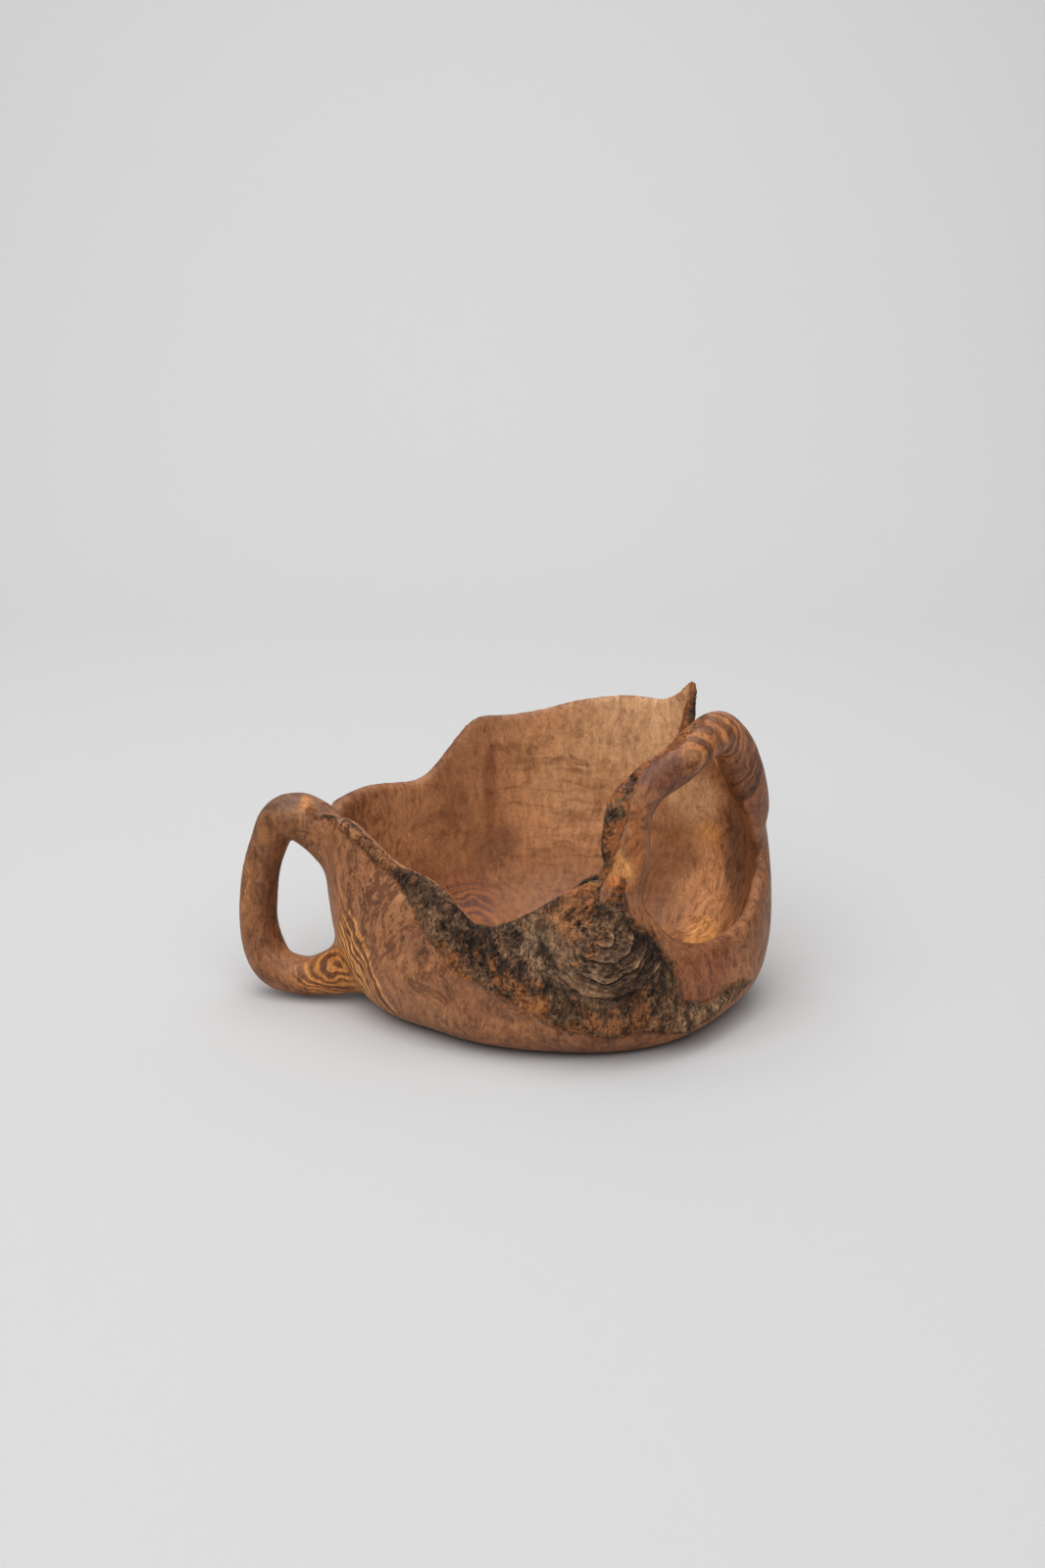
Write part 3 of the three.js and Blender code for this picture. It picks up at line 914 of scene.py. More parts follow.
def relaxed(values: Array, quads: Array, rounds: int) -> Array:
    """Rows of numbers drawn halfway to their neighbours' mean, as often as rounds says.

    Args:
        values: Rows of numbers for each vertex.
        quads: Vertex numbers of the faces.
        rounds: How often.

    Returns:
        The softened numbers.
    """
    for _ in range(rounds):
        values = 0.5 * (values + neighbour_mean(values, quads))
    return values


def cloud_distance(points: Array, cloud: Array) -> Array:
    """Distance of each point from the nearest point of a cloud, in blocks to spare memory.

    Args:
        points: Rows of places.
        cloud: Rows of the cloud's places.

    Returns:
        The distances.
    """
    nearest = np.full(len(points), np.inf)
    for start in range(0, len(cloud), CLOUD_BLOCK):
        block = cloud[start:start + CLOUD_BLOCK]
        nearest = np.minimum(nearest, np.linalg.norm(points[:, None] - block[None], axis=2).min(axis=1))
    return nearest


def open_edges(quads: Array) -> Array:
    """Edges that only one face uses.

    Args:
        quads: Vertex numbers of the faces.

    Returns:
        Rows of two vertex numbers, in the direction in which the face runs along the edge.
    """
    edges = np.stack([quads, np.roll(quads, -1, axis=1)], axis=-1).reshape(-1, 2)
    size = int(quads.max()) + 1
    code = edges[:, 0].astype(np.int64) * size + edges[:, 1]
    back = edges[:, 1].astype(np.int64) * size + edges[:, 0]
    return edges[~np.isin(code, back)]


def without_pinches(quads: Array, keep: Array) -> Array:
    """Drops faces round vertices at which the border of the kept faces touches itself.

    Args:
        quads: Vertex numbers of all faces.
        keep: Which faces are kept.

    Returns:
        Which faces are still kept.
    """
    keep = keep.copy()
    while keep.any():
        border = open_edges(quads[keep])
        pinched = np.flatnonzero(np.bincount(border[:, 0], minlength=quads.max() + 1) > 1)
        if not len(pinched):
            break
        keep &= ~np.isin(quads, pinched).any(axis=1)
    return keep


def outline_distance(points: Array, outline: Sequence[Pair]) -> Array:
    """Signed distance to a closed outline, positive inside.

    Args:
        points: Rows of two numbers.
        outline: Corners of the outline.

    Returns:
        The distance of each point.
    """
    corners = np.array(outline, float)
    ahead = np.roll(corners, -1, axis=0)
    nearest = np.full(len(points), np.inf)
    inside = np.zeros(len(points), bool)
    for start, end in zip(corners, ahead):
        span = end - start
        share = np.clip((points - start) @ span / (span @ span), 0, 1)
        nearest = np.minimum(nearest, np.linalg.norm(points - start - share[:, None] * span, axis=1))
        if start[1] != end[1]:
            crosses = (start[1] > points[:, 1]) != (end[1] > points[:, 1])
            meets = start[0] + (points[:, 1] - start[1]) * span[0] / span[1]
            inside ^= crosses & (points[:, 0] < meets)
    return np.where(inside, nearest, -nearest)


class GeometryTree(Graph):
    """A geometry node tree with named sizes as inputs, run as a modifier on a mesh."""

    def __init__(self, name: str, sizes: dict[str, float]) -> None:
        """Makes the tree, its geometry sockets, an input for each named size and one for the material.

        Args:
            name: The tree's name.
            sizes: Named sizes with their values.
        """
        super().__init__(bpy.data.node_groups.new(name, "GeometryNodeTree"))
        face = self.tree.interface
        for way in ("OUTPUT", "INPUT"):
            face.new_socket("Geometry", in_out=way, socket_type="NodeSocketGeometry")
        self.sizes = {}
        for label, value in sizes.items():
            socket = face.new_socket(label, in_out="INPUT", socket_type="NodeSocketFloat")
            self.sizes[label] = (socket.identifier, value)
        self.finish = face.new_socket("Finish", in_out="INPUT", socket_type="NodeSocketMaterial").identifier
        self.entry = self.node("NodeGroupInput")
        self.geometry = self.size("Geometry")

    def size(self, label: str) -> Signal:
        """The signal of a named input."""
        return self.read(self.entry, label)

    def place(self) -> Signal:
        """Coordinates of the mesh's points in millimetres."""
        return self.scaled(self.signal("GeometryNodeInputPosition", "Position"), 1 / MM)

    def stored(self, name: str) -> Signal:
        """A number stored on the mesh."""
        return self.signal("GeometryNodeInputNamedAttribute", "Attribute", {"Name": name}, data_type="FLOAT")

    def store(self, name: str, value: Feed) -> None:
        """Stores a number on the mesh's points."""
        inputs = {"Geometry": self.geometry, "Name": name, "Value": value}
        self.geometry = self.signal("GeometryNodeStoreNamedAttribute", "Geometry", inputs,
                                    data_type="FLOAT", domain="POINT")

    def lift(self, rise: Signal) -> None:
        """Moves points along their normals by a number of millimetres, and ends the tree with its material.

        Args:
            rise: The number of millimetres.
        """
        offset = self.scaled(self.signal("GeometryNodeInputNormal", "Normal"), rise * MM)
        for kind, inputs in (
            ("GeometryNodeSetPosition", {"Offset": offset}),
            ("GeometryNodeRealizeInstances", {}),
            ("GeometryNodeSetMaterial", {"Material": self.size("Finish")}),
        ):
            self.geometry = self.signal(kind, "Geometry", {"Geometry": self.geometry, **inputs})
        self.node("NodeGroupOutput", {"Geometry": self.geometry})

    def run(self, mesh: Mesh, finish: Material) -> Mesh:
        """Runs the tree on a mesh.

        Args:
            mesh: The mesh to work on.
            finish: The material that the result gets.

        Returns:
            The result as a plain mesh.
        """
        carrier = new_object(self.tree.name, mesh)
        modifier = carrier.modifiers.new(self.tree.name, "NODES")
        modifier.node_group = self.tree
        for identifier, value in self.sizes.values():
            modifier[identifier] = value
        modifier[self.finish] = finish
        return baked(carrier)


@dataclass
class CarvedBurl:
    """The wood: shell, loop and arch blended into one carved surface, then parted at the roots.

    Sizes are in millimetres. The voxel sets the mesh's fineness, root_sink how deep a limb is pushed into the
    shell before they are blended, fillet_reach and fillet_rounds how wide and soft the blend is. Evening goes
    to and fro, by even_push and then back by even_pull, so that the shape doesn't shrink.
    """

    finish: Material
    weld: float = 0.02
    pair_angle: float = 0.7
    voxel: float = 2.4
    root_gap: float = 0.7
    root_sink: float = 6.0
    fillet_reach: float = 22.0
    fillet_rounds: int = 46
    fillet_push: float = 0.6
    even_rounds: int = 6
    even_push: float = 0.5
    even_pull: float = 0.48
    swell: float = 0.7
    swell_size: float = 48.0
    chatter: float = 0.22
    chatter_size: float = 9.0
    foot: Pair = (2.0, 12.0)
    lead_rounds: int = 8
    surface: Mesh = field(init=False)
    roots: Array = field(init=False)

    def build(self) -> None:
        """Makes the one surface that wood and bark are taken from."""
        joined = bpy.data.meshes.new("burl_blank")
        whole = bmesh.new()
        for part in self._limbs_sunk_in_shell():
            whole.from_mesh(part)
        whole.to_mesh(joined)
        whole.free()
        carrier = new_object("burl_blank", joined)
        remesh = carrier.modifiers.new("blend", "REMESH")
        remesh.mode = "VOXEL"
        remesh.voxel_size = self.voxel * MM
        self.surface = baked(carrier)
        self._soften()
        self.surface = self._carving().run(self.surface, self.finish)
        points = points_of(self.surface)
        points[:, 2] = np.maximum(points[:, 2], 0)
        set_points(self.surface, points)
        log.info("burl surface: %d faces", len(self.surface.polygons))

    def _limbs_sunk_in_shell(self) -> list[Mesh]:
        """Smooth copies of the wood solids, the limbs lengthened into the shell at their roots.

        Returns:
            The shell, the loop and the arch.
        """
        shell = self._merged(Wood.SHELL)
        wall = BVHTree.FromBMesh(shell)
        made = [self._smooth(shell)]
        roots = []
        for limb in LIMBS:
            copy = self._merged(limb)
            for vertex in copy.verts:
                place, normal, _, distance = wall.find_nearest(vertex.co)
                if distance < self.root_gap * MM:
                    roots.append(place)
                    vertex.co = place - normal * self.root_sink * MM
            made.append(self._smooth(copy))
        self.roots = np.array(roots, float)
        return made

    def _merged(self, node: Wood) -> bmesh.types.BMesh:
        """A copy of a wood solid with its corners merged and its triangles paired into quads.

        Args:
            node: The solid.

        Returns:
            The copy.
        """
        copy = bmesh.new()
        copy.from_mesh(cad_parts[node.value].data)
        bmesh.ops.remove_doubles(copy, verts=copy.verts, dist=self.weld * MM)
        limits = {"angle_face_threshold": self.pair_angle, "angle_shape_threshold": self.pair_angle}
        bmesh.ops.join_triangles(copy, faces=copy.faces, **limits)
        copy.normal_update()
        return copy

    @staticmethod
    def _smooth(shape: bmesh.types.BMesh) -> Mesh:
        """A subdivided copy of a shape.

        Args:
            shape: The shape, which is freed.

        Returns:
            The copy.
        """
        mesh = bpy.data.meshes.new("smooth")
        shape.to_mesh(mesh)
        shape.free()
        return subdivided(mesh)

    def _soften(self) -> None:
        """Evens the surface all over and fillets the limbs' roots."""
        points = points_of(self.surface)
        quads = quads_of(self.surface)
        for _ in range(self.even_rounds):
            points += self.even_push * (neighbour_mean(points, quads) - points)
            points -= self.even_pull * (neighbour_mean(points, quads) - points)
        near = cloud_distance(points, self.roots) / MM
        weight = smoothstep(-near, -self.fillet_reach, -self.fillet_reach / 3)[:, None]
        for _ in range(self.fillet_rounds):
            points += self.fillet_push * weight * (neighbour_mean(points, quads) - points)
        set_points(self.surface, points)

    def _carving(self) -> GeometryTree:
        """A tree that lets the hand-carved surface swell and chatter, except on the foot.

        Returns:
            The tree.
        """
        waves = {"Swell": self.swell, "Chatter": self.chatter}
        lengths = {"Swell Size": self.swell_size, "Chatter Size": self.chatter_size}
        tree = GeometryTree("hand_carving", {**waves, **lengths})
        at = tree.place()
        _, _, height = tree.part(at)
        rises = []
        for wave in waves:
            length = tree.whole(*[tree.size(f"{wave} Size")] * 3)
            cloud = tree.noise(tree.vector("DIVIDE", at, length), 1.0, 2.0)
            rises.append((cloud - 0.5) * 2.0 * tree.size(wave))
        tree.lift((rises[0] + rises[1]) * tree.spread(height, *self.foot))
        return tree

    def mark(self, stretches: Sequence["BarkStretch"]) -> None:
        """Stores what the wood's material reads: nearness of bark, stain below it, and edge wear with painted
        highlight and shade.

        Args:
            stretches: The bark.
        """
        points = points_of(self.surface)
        normals = normals_of(self.surface)
        quads = quads_of(self.surface)
        near = np.max([stretch.cover(points, normals) for stretch in stretches], axis=0)
        stain = np.zeros(len(points))
        for stretch in stretches:
            if stretch.low_line:
                below = smoothstep(-stretch.low_distance(points), -STAIN_REACH, 0)
                stain += below * smoothstep(near, -STAIN_REACH - STAIN_FADE, -STAIN_REACH)
        # Convex edges get wear with a painted highlight and concave creases get painted shade. The back rim's
        # edges are darkened, partly as a dark natural edge and partly as painted shade over their lit crown.
        bulge = ((points - neighbour_mean(points, quads)) * normals).sum(axis=1)[:, None]
        for _ in range(WEAR_AND_SHADE_ROUNDS):
            bulge = neighbour_mean(bulge, quads)
        bulge = bulge[:, 0] / MM
        back = smoothstep(points[:, 1] / MM, *BACK_EDGE)
        wear_highlight_and_shade = smoothstep(bulge, *WEAR_AND_SHADE_BULGE) * (1 - 2 * back) - smoothstep(-bulge, *WEAR_AND_SHADE_BULGE)
        set_numbers(self.surface, dict(zip(WOOD_MARKS, (near, stain, wear_highlight_and_shade))))

    def part_at_roots(self) -> list[Object]:
        """Cuts the surface into shell, loop and arch along the limbs' roots.

        Returns:
            One closed object for each wood solid.
        """
        points = points_of(self.surface)
        quads = quads_of(self.surface)
        shell = self._distances(Wood.SHELL, points)
        owner = np.zeros(len(quads), int)
        for number, limb in enumerate(LIMBS, start=1):
            lead = relaxed((self._distances(limb, points) - shell)[:, None], quads, self.lead_rounds)
            owner[lead[quads, 0].mean(axis=1) < 0] = number
        for number in range(1, len(Wood)):
            keep = without_pinches(quads, owner == number)
            owner[(owner == number) & ~keep] = 0
        pieces = []
        for number, node in enumerate(Wood):
            mesh = self._capped(node.value, quads[owner == number])
            pieces.append(new_object(f"{node.value}_wood", mesh))
        return pieces

    @staticmethod
    def _distances(node: Wood, points: Array) -> Array:
        """Distance of points from a wood solid of the frame."""
        tree = solid_tree([node])
        return np.array([tree.find_nearest(Vector(p))[3] for p in points])

    @staticmethod
    def _border_loops(quads: Array) -> list[list[int]]:
        """Walks round the openings of a part of the surface.

        Args:
            quads: The part's faces.

        Returns:
            The vertex numbers of each opening, in order.
        """
        ahead = dict(open_edges(quads).tolist())
        loops = []
        while ahead:
            start, here = ahead.popitem()
            loop = [start]
            while here != start:
                loop.append(here)
                here = ahead.pop(here)
            loops.append(loop)
        return loops

    def _capped(self, name: str, quads: Array) -> Mesh:
        """Closes a cut part of the surface with a fan over each opening.

        The surface's own normals keep the shading smooth across the cut.

        Args:
            name: The mesh's name.
            quads: The part's faces.

        Returns:
            The closed mesh.
        """
        used, number = renumbered(quads)
        faces = number[quads].tolist()
        rows = {"points": points_of(self.surface), "normals": normals_of(self.surface)}
        rows.update(numbers_of(self.surface, WOOD_MARKS))
        shown = {label: [values[used]] for label, values in rows.items()}
        for middle, loop in enumerate(self._border_loops(quads), start=len(used)):
            for label, values in rows.items():
                shown[label].append(values[loop].mean(axis=0, keepdims=True))
            for here, there in zip(loop, loop[1:] + loop[:1]):
                faces.append([int(number[there]), int(number[here]), middle])
        shown = {label: np.concatenate(values) for label, values in shown.items()}
        mesh = bpy.data.meshes.new(name)
        mesh.from_pydata(shown["points"].tolist(), [], faces)
        mesh.shade_smooth()
        mesh.normals_split_custom_set_from_vertices(shown["normals"].tolist())
        set_numbers(mesh, {label: shown[label] for label in WOOD_MARKS})
        mesh.materials.append(self.finish)
        return mesh


@dataclass(frozen=True)
class Plate:
    """A plate of a stretch of bark: the solid it stands for and the range of x and height it takes."""

    node: Bark
    x: Pair = (-FAR, FAR)
    height: Pair = (-FAR, FAR)

    def takes(self, middles: Array) -> Array:
        """Which of some places in millimetres lie in the plate's range."""
        inside = (middles[:, 0] > self.x[0]) & (middles[:, 0] <= self.x[1])
        return inside & (middles[:, 2] > self.height[0]) & (middles[:, 2] <= self.height[1])


@dataclass
class BarkStretch:
    """Bark that grew on one stretch of the surface.

    The outline is drawn as seen from the front, in x and height. Facing is the direction that barked surface
    faces, or None where it faces away from the bowl's axis, and least_facing how well it has to. Depth limits
    the stretch from front to back. The upright strands are drawn out by strand_shares, and round the knot
    they follow its rings.
    """

    name: str
    outline: Sequence[Pair]
    plates: Sequence[Plate]
    depth: Pair
    ragged: float
    facing: Optional[Triple] = None
    least_facing: float = 0.0
    low_line: Sequence[Pair] = ()
    lump: float = 1.5
    lump_size: float = 13.0
    strand: float = 1.6
    strand_shares: Triple = (0.6, 0.6, 0.15)
    grit: float = 0.8
    grit_size: float = 2.6
    flake: float = 2.4
    flake_shares: Triple = (1.0, 1.0, 0.45)
    flake_height: float = 1.1
    sheet: float = 1.6
    crack: float = 1.2
    warp_drift: Pair = (14.0, 5.0)
    knot_reach: Pair = (60.0, 36.0)
    rust_size: float = 13.0
    margin: float = 6.0
    sink: float = 1.2

    def cover(self, points: Array, normals: Array) -> Array:
        """How far inside the stretch points lie.

        Args:
            points: Places in metres.
            normals: Normals of the surface there.

        Returns:
            Millimetres, negative outside.
        """
        at = points / MM
        inside = outline_distance(at[:, [0, 2]], self.outline)
        if self.facing is None:
            away = at[:, :2] - np.array(BOWL_AXIS)
            away /= np.maximum(np.linalg.norm(away, axis=1), 1e-6)[:, None]
            turned = (normals[:, :2] * away).sum(axis=1)
        else:
            turned = normals @ (np.array(self.facing) / np.linalg.norm(self.facing))
        facing = (turned - self.least_facing) * FACING_SPAN
        within = np.minimum(at[:, 1] - self.depth[0], self.depth[1] - at[:, 1])
        return np.minimum(np.minimum(inside, facing), within)

    def low_distance(self, points: Array) -> Array:
        """Distance from the low margin in millimetres, as seen from the front."""
        line = tuple(self.low_line)
        return np.abs(outline_distance(points[:, [0, 2]] / MM, line + line[::-1]))

    def relief(self) -> GeometryTree:
        """A tree that works the bark's strands, lumps, sheets and cracks into the height of the solids.

        Returns:
            The tree. It stores rise, fissure, rust and the ragged cover on the mesh.
        """
        tree = GeometryTree(f"{self.name}_relief", {
            "Ragged": self.ragged, "Lump Height": self.lump, "Strand Height": self.strand,
            "Grit Height": self.grit, "Flake Height": self.flake_height, "Sheet Height": self.sheet,
            "Crack Depth": self.crack,
        })
        at = tree.place()
        warped = tree.drift(at, *self.warp_drift)
        torn = (tree.noise(at, 24.0, 2.0) - 0.5) * 1.6 + (tree.noise(at, 7.0, 4.0, 0.65) - 0.5) * 1.6
        edge = tree.stored("cover") + torn * tree.size("Ragged")

        away = tree.vector("MULTIPLY", tree.vector("SUBTRACT", at, KNOT_MIDDLE), (1.0, 0.0, 1.0))
        radius = tree.vector("LENGTH", away, output="Value")
        side, _, lift = tree.part(tree.vector("NORMALIZE", away))
        at_knot = tree.spread(radius + (tree.noise(at, 22.0, 3.0) - 0.5) * 30.0, *self.knot_reach)
        bent = radius + (tree.noise(at, 16.0, 3.0) - 0.5) * 9.0
        upright = tree.stretched(warped, self.strand_shares, 5.0, 0.65)
        ringed = tree.noise(tree.whole(bent * 0.6, side * 4.0, lift * 4.0), 1.0, 5.0, 0.65)
        strand = upright + (ringed - upright) * at_knot
        flake_up = tree.cells(tree.vector("MULTIPLY", warped, self.flake_shares), self.flake)
        flake_round = tree.cells(tree.whole(bent, side * 14.0, lift * 14.0), self.flake)
        flake, _, _ = tree.part(tree.mix(at_knot, flake_up, flake_round))
        lump = tree.noise(at, self.lump_size, 4.0, 0.55)
        grit = tree.noise(warped, self.grit_size, 3.0, 0.6)
        step = tree.math("FRACT", bent / SHEET_WIDTH + 0.5)
        layered = at_knot * tree.spread(side * 0.6 - lift * 0.8, -0.15, 0.35)
        crack = tree.spread(strand + (lump - 0.5) * 0.4, 0.37, 0.28)
        lip = tree.spread(step, 0.16, 0.02) * layered

        detail = (lump - 0.5) * 2.0 * tree.size("Lump Height")
        detail = detail + (strand - 0.5) * 2.0 * tree.size("Strand Height")
        detail = detail + (grit - 0.5) * 2.0 * tree.size("Grit Height")
        detail = detail + (flake - 0.5) * tree.size("Flake Height")
        detail = detail + (step - 0.5) * layered * tree.size("Sheet Height")
        detail = detail - crack * tree.size("Crack Depth")
        inner = 0.25 + 0.75 * tree.spread(edge, 0.0, 8.0)
        rise = tree.stored("body") * inner + detail * inner

        level = 0.5 + (strand - 0.5) * 1.1 + (grit - 0.5) * 0.7 + (lump - 0.5) * 0.6 + (flake - 0.5) * 0.3
        level = level + (step - 0.5) * layered * 0.3 - tree.spread(tree.stored("dip"), 0.1, 1.2) * 0.3
        fissure = tree.math("MAXIMUM", crack, lip)
        margin = tree.spread(tree.stored("low"), 34.0, 2.0) * 0.13 + tree.spread(edge, 7.0, 0.0) * 0.05
        rust = tree.spread(tree.noise(warped, self.rust_size, 2.0, 0.5) + margin, 0.56, 0.61)

        for name, value in zip(BARK_MARKS, (edge, level, fissure, rust)):
            tree.store(name, value)
        tree.lift(tree.math("MAXIMUM", rise, LEAST_BARK))
        return tree

    def build(self, surface: Mesh,
              finish: Material) -> list[tuple[Plate, Object]]:
        """Grows the stretch out of the carved surface and divides it into plates.

        Args:
            surface: The carved wood.
            finish: The bark's material.

        Returns:
            Each plate with its closed object.
        """
        base = self._fine_copy(surface)
        under = points_of(base) - self.sink * MM * normals_of(base)
        quads = quads_of(base)
        top = self.relief().run(base, finish)
        places = points_of(top)
        stored = numbers_of(top, BARK_MARKS)
        middles = places[quads].mean(axis=1) / MM
        grown = (stored["edge"][quads] > 0).all(axis=1)
        made = []
        for plate in self.plates:
            mine = without_pinches(quads, grown & plate.takes(middles))
            mesh = self._closed(plate.node.value, places, under, quads[mine], stored)
            mesh.materials.append(finish)
            made.append((plate, new_object(f"{plate.node.value}_crust", mesh)))
        return made

    def _fine_copy(self, surface: Mesh) -> Mesh:
        """The part of the surface that can carry this bark, subdivided, with what the relief reads.

        Args:
            surface: The carved wood.

        Returns:
            The finer part, with cover, body, dip and low stored on it.
        """
        points = points_of(surface)
        normals = normals_of(surface)
        cover = self.cover(points, normals)
        quads = quads_of(surface)
        quads = quads[(cover[quads] > -self.margin - self.ragged).any(axis=1)]
        used, number = renumbered(quads)
        quads = number[quads]
        points, normals, cover = points[used], normals[used], cover[used]
        body = self._solid_height(points, normals)[:, None]
        seam = ((body == 0) & (cover > SEAM_COVER)[:, None]).astype(float)
        for _ in range(SEAM_ROUNDS):
            seam = np.maximum(seam, np.minimum(1, neighbour_mean(seam, quads) * 2))
            body += seam * (neighbour_mean(body, quads) - body)
        body = relaxed(body, quads, BODY_ROUNDS)
        dip = relaxed(body, quads, BROAD_ROUNDS) - body
        low = self.low_distance(points) if self.low_line else np.full(len(used), FAR)
        patch = bpy.data.meshes.new(self.name)
        patch.from_pydata(points.tolist(), [], quads.tolist())
        set_numbers(patch, {"cover": cover, "body": body[:, 0], "dip": dip[:, 0], "low": low})
        return subdivided(patch)

    def _solid_height(self, points: Array, normals: Array) -> Array:
        """How high the bark's solids stand over places of the wood.

        Args:
            points: The places.
            normals: Normals of the wood there.

        Returns:
            Millimetres, 0 where no solid is.
        """
        tree = solid_tree(plate.node for plate in self.plates)
        heights = np.zeros(len(points))
        for index, (place, normal) in enumerate(zip(points, normals)):
            start = Vector(place + normal * CAST_REACH * MM)
            _, _, _, distance = tree.ray_cast(start, Vector(-normal), CAST_REACH * MM)
            if distance is not None:
                heights[index] = CAST_REACH - distance / MM
        return heights

    @staticmethod
    def _closed(name: str, over: Array, under: Array, quads: Array,
                stored: dict[str, Array]) -> Mesh:
        """A closed crust between its upper face and the wood.

        Args:
            name: The mesh's name.
            over: Places of the upper face's vertices.
            under: Places of the lower face's vertices.
            quads: The upper face.
            stored: Numbers kept for the material.

        Returns:
            The closed mesh.
        """
        used, number = renumbered(quads)
        upper = number[quads]
        lower = upper[:, ::-1] + len(used)
        here, there = number[open_edges(quads)].T
        walls = np.stack([there, here, here + len(used), there + len(used)], axis=1)
        mesh = bpy.data.meshes.new(name)
        corners = np.concatenate([over[used], under[used]])
        mesh.from_pydata(corners.tolist(), [], np.concatenate([upper, lower, walls]).tolist())
        mesh.shade_smooth()
        mesh.set_sharp_from_angle(angle=math.radians(SHARP_EDGE))
        set_numbers(mesh, {label: np.tile(values[used], 2) for label, values in stored.items()})
        return mesh


EDGE_RIM = (
    (-162, 171), (-150, 172), (-138, 168.5), (-124, 165), (-107, 159), (-89, 151), (-76, 148), (-62, 146),
    (-50, 138), (-38, 124), (-27, 114), (-12, 110), (2, 119), (20, 126), (33, 138), (46, 134), (60, 152),
    (72, 160), (79, 162), (78, 146), (76, 132), (81, 130), (87, 138), (94, 148), (98, 126), (103, 112),
    (119, 102), (129, 87), (139, 65), (144, 46), (158, 40), (179, 41), (199, 41), (204, 33),
)
EDGE_MARGIN = (
    (173, 20), (145, 17), (100, 23), (75, 25), (48, 30), (31, 38), (11, 49), (-8, 54), (-24, 62), (-47, 74),
    (-59, 93), (-69, 106), (-76, 117), (-88, 131), (-103, 140), (-124, 158), (-139, 161), (-151, 160),
    (-162, 162),
)

NATURAL_EDGE = BarkStretch(
    name="natural_edge",
    outline=EDGE_RIM + EDGE_MARGIN,
    plates=(
        Plate(Bark.RIM_STRIP, x=(-FAR, EDGE_SPLITS[0])),
        Plate(Bark.FRONT_BAND, x=EDGE_SPLITS),
        Plate(Bark.KNOT, x=(EDGE_SPLITS[1], FAR), height=(FRINGE_TOP, FAR)),
        Plate(Bark.LOWER_FRINGE, x=(EDGE_SPLITS[1], FAR), height=(-FAR, FRINGE_TOP)),
    ),
    depth=(-300, 14), ragged=11.0, least_facing=-0.05, low_line=EDGE_MARGIN,
)
POST_BARK = BarkStretch(
    name="post_bark",
    outline=(
        (66, 150), (66, 215), (86, 227), (103, 227), (104, 219), (99, 211), (97, 200), (94, 186), (90, 170),
        (86, 156), (82, 150),
    ),
    plates=(Plate(Bark.POST_STRIP),),
    depth=(-150, -60), ragged=5.0, facing=(-0.75, -0.65, 0.0), least_facing=0.1,
)
RIDGE_BARK = BarkStretch(
    name="ridge_bark",
    outline=(
        (101, 226), (112, 233), (125, 239), (136, 245), (146, 252), (160, 258), (163, 266), (140, 262),
        (120, 252), (100, 238), (94, 231),
    ),
    plates=(Plate(Bark.ARCH_RIDGE),),
    depth=(-130, -40), ragged=7.0, facing=(-0.35, -0.45, 0.82), least_facing=0.3, lump=0.6, strand=0.8,
)
HORN_BARK = BarkStretch(
    name="horn_bark",
    outline=((150, 185), (158, 222), (163, 243), (167, 251), (176, 252), (176, 220), (170, 185)),
    plates=(Plate(Bark.HORN_EDGE),),
    depth=(80, 130), ragged=2.5, facing=(0.6, -0.8, 0.0), least_facing=-0.1, lump=0.5, strand=0.7,
)
STRETCHES = (NATURAL_EDGE, POST_BARK, RIDGE_BARK, HORN_BARK)


@dataclass(frozen=True)
class Lamp:
    """A round soft lamp that shines at a point."""

    name: str
    place: Triple
    aim: Triple
    size: float
    watts: float

    def add(self) -> None:
        """Puts the lamp into the scene."""
        data = bpy.data.lights.new(self.name, "AREA")
        data.shape = "DISK"
        data.size = self.size
        data.energy = self.watts
        lamp = bpy.data.objects.new(self.name, data)
        lamp.location = self.place
        lamp.rotation_euler = (Vector(self.aim) - Vector(self.place)).to_track_quat("-Z", "Y").to_euler()
        bpy.context.scene.collection.objects.link(lamp)


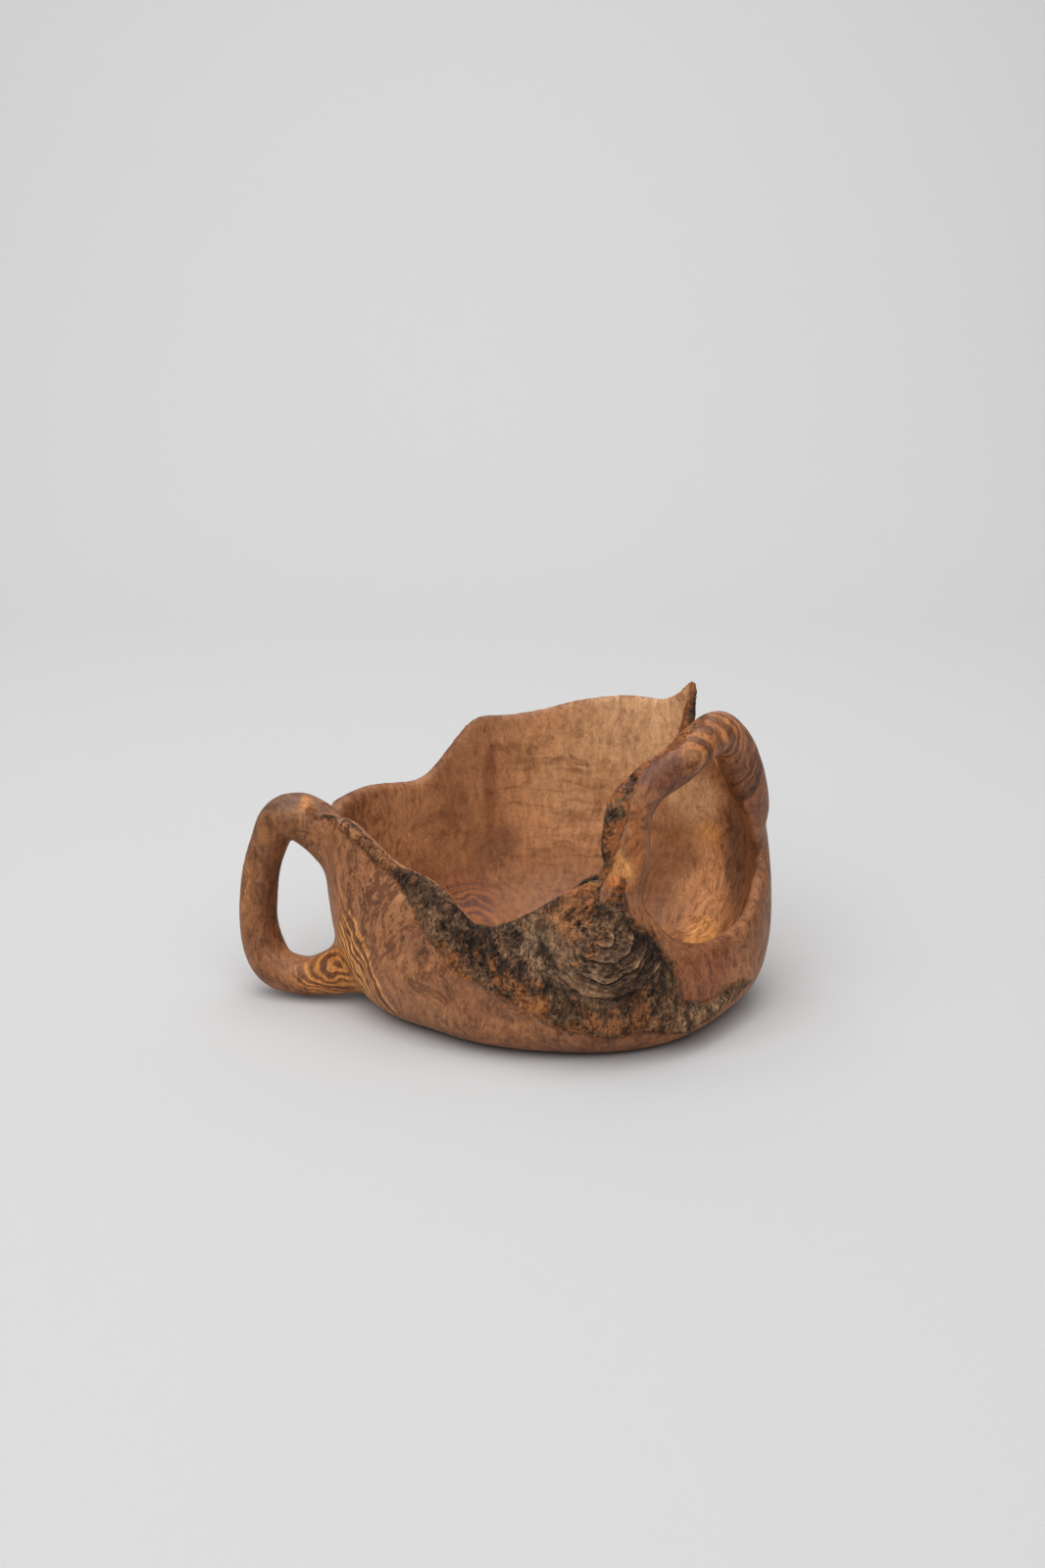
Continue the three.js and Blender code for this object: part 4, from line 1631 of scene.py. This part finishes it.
@dataclass(frozen=True)
class Studio:
    """Pale sweep, soft light from above in front, and the camera. Lengths are in metres."""

    sweep_width: float = 9.0
    sweep_front: float = -4.0
    sweep_back: float = 2.6
    sweep_round: float = 1.2
    sweep_height: float = 4.0
    sweep_steps: int = 24
    paper_shade: Triple = (0.6, 0.6, 0.6)
    paper_tooth: float = 3.0
    paper_roughness: float = 0.9
    paper_shine: float = 0.1
    key: Lamp = Lamp("key_light", (-0.5, -1.7, 2.8), (0.0, 0.0, 0.0), 4.4, 108.0)
    wash: Lamp = Lamp("backdrop_wash", (0.0, 1.0, 3.4), (0.0, 2.6, 1.2), 3.0, 60.0)
    world_strength: float = 0.26
    camera_place: Triple = (0.01525, -1.73079, 0.72774)
    camera_pitch: float = 72.654
    lens: float = 50.0
    sensor: float = 36.0

    def build(self) -> None:
        """Sets up sweep, light, camera and colour management."""
        self._sweep()
        self._light()
        self._camera()
        bpy.context.scene.view_settings.view_transform = "Standard"

    def _sweep(self) -> None:
        """Lays the floor, which rounds up into the backdrop."""
        bend = self.sweep_back - self.sweep_round
        profile = [(self.sweep_front, 0.0)]
        for step in range(self.sweep_steps + 1):
            turn = math.radians(90 * step / self.sweep_steps)
            rise = self.sweep_round * (1 - math.cos(turn))
            profile.append((bend + self.sweep_round * math.sin(turn), rise))
        profile.append((self.sweep_back, self.sweep_height))
        half = self.sweep_width / 2
        corners = [(x, y, z) for y, z in profile for x in (-half, half)]
        faces = [(2 * i, 2 * i + 1, 2 * i + 3, 2 * i + 2) for i in range(len(profile) - 1)]
        mesh = bpy.data.meshes.new("paper_sweep")
        mesh.from_pydata(corners, [], faces)
        mesh.shade_smooth()
        graph = ShaderTree("pale_paper", self.paper_roughness, self.paper_shine)
        tooth = graph.spread(graph.noise(graph.at, self.paper_tooth, 2.0), 0.3, 0.7, 0.0, 0.03)
        graph.feed(graph.surface, "Base Color", graph.mix(tooth, Tone.PAPER, self.paper_shade))
        mesh.materials.append(graph.material)
        new_object("paper_sweep", mesh)

    def _light(self) -> None:
        """Adds the key lamp, the lamp that washes the backdrop and the pale world."""
        self.key.add()
        self.wash.add()
        world = bpy.data.worlds.new("studio")
        world.use_nodes = True
        backdrop = world.node_tree.nodes["Background"]
        backdrop.inputs["Color"].default_value = (1.0, 1.0, 1.0, 1.0)
        backdrop.inputs["Strength"].default_value = self.world_strength
        bpy.context.scene.world = world

    def _camera(self) -> None:
        """Adds the camera at the photograph's viewing angle."""
        data = bpy.data.cameras.new("camera")
        data.lens = self.lens
        data.sensor_fit = "VERTICAL"
        data.sensor_height = self.sensor
        camera = bpy.data.objects.new("camera", data)
        camera.location = self.camera_place
        camera.rotation_euler = (math.radians(self.camera_pitch), 0.0, 0.0)
        bpy.context.scene.collection.objects.link(camera)
        bpy.context.scene.camera = camera


def settle(piece: Object, node: str) -> None:
    """Puts a finished piece in place of its solid.

    Args:
        piece: The finished piece.
        node: The solid that it stands for.
    """
    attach(piece, BODY)
    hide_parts(node)
    log.info("%s: %d faces, stands for %s", piece.name, len(piece.data.polygons), node)


def main() -> None:
    """Builds the wood, the bark and the studio."""
    logging.basicConfig(level=logging.INFO, format="%(name)s %(message)s")
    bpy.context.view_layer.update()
    Studio().build()
    wood_finish = BurlFinish().material()
    bark_finish = BarkFinish().material()
    burl = CarvedBurl(wood_finish)
    burl.build()
    burl.mark(STRETCHES)
    for node, piece in zip(Wood, burl.part_at_roots()):
        settle(piece, node.value)
    for stretch in STRETCHES:
        for plate, piece in stretch.build(burl.surface, bark_finish):
            settle(piece, plate.node.value)


if __name__ == "__main__":
    main()
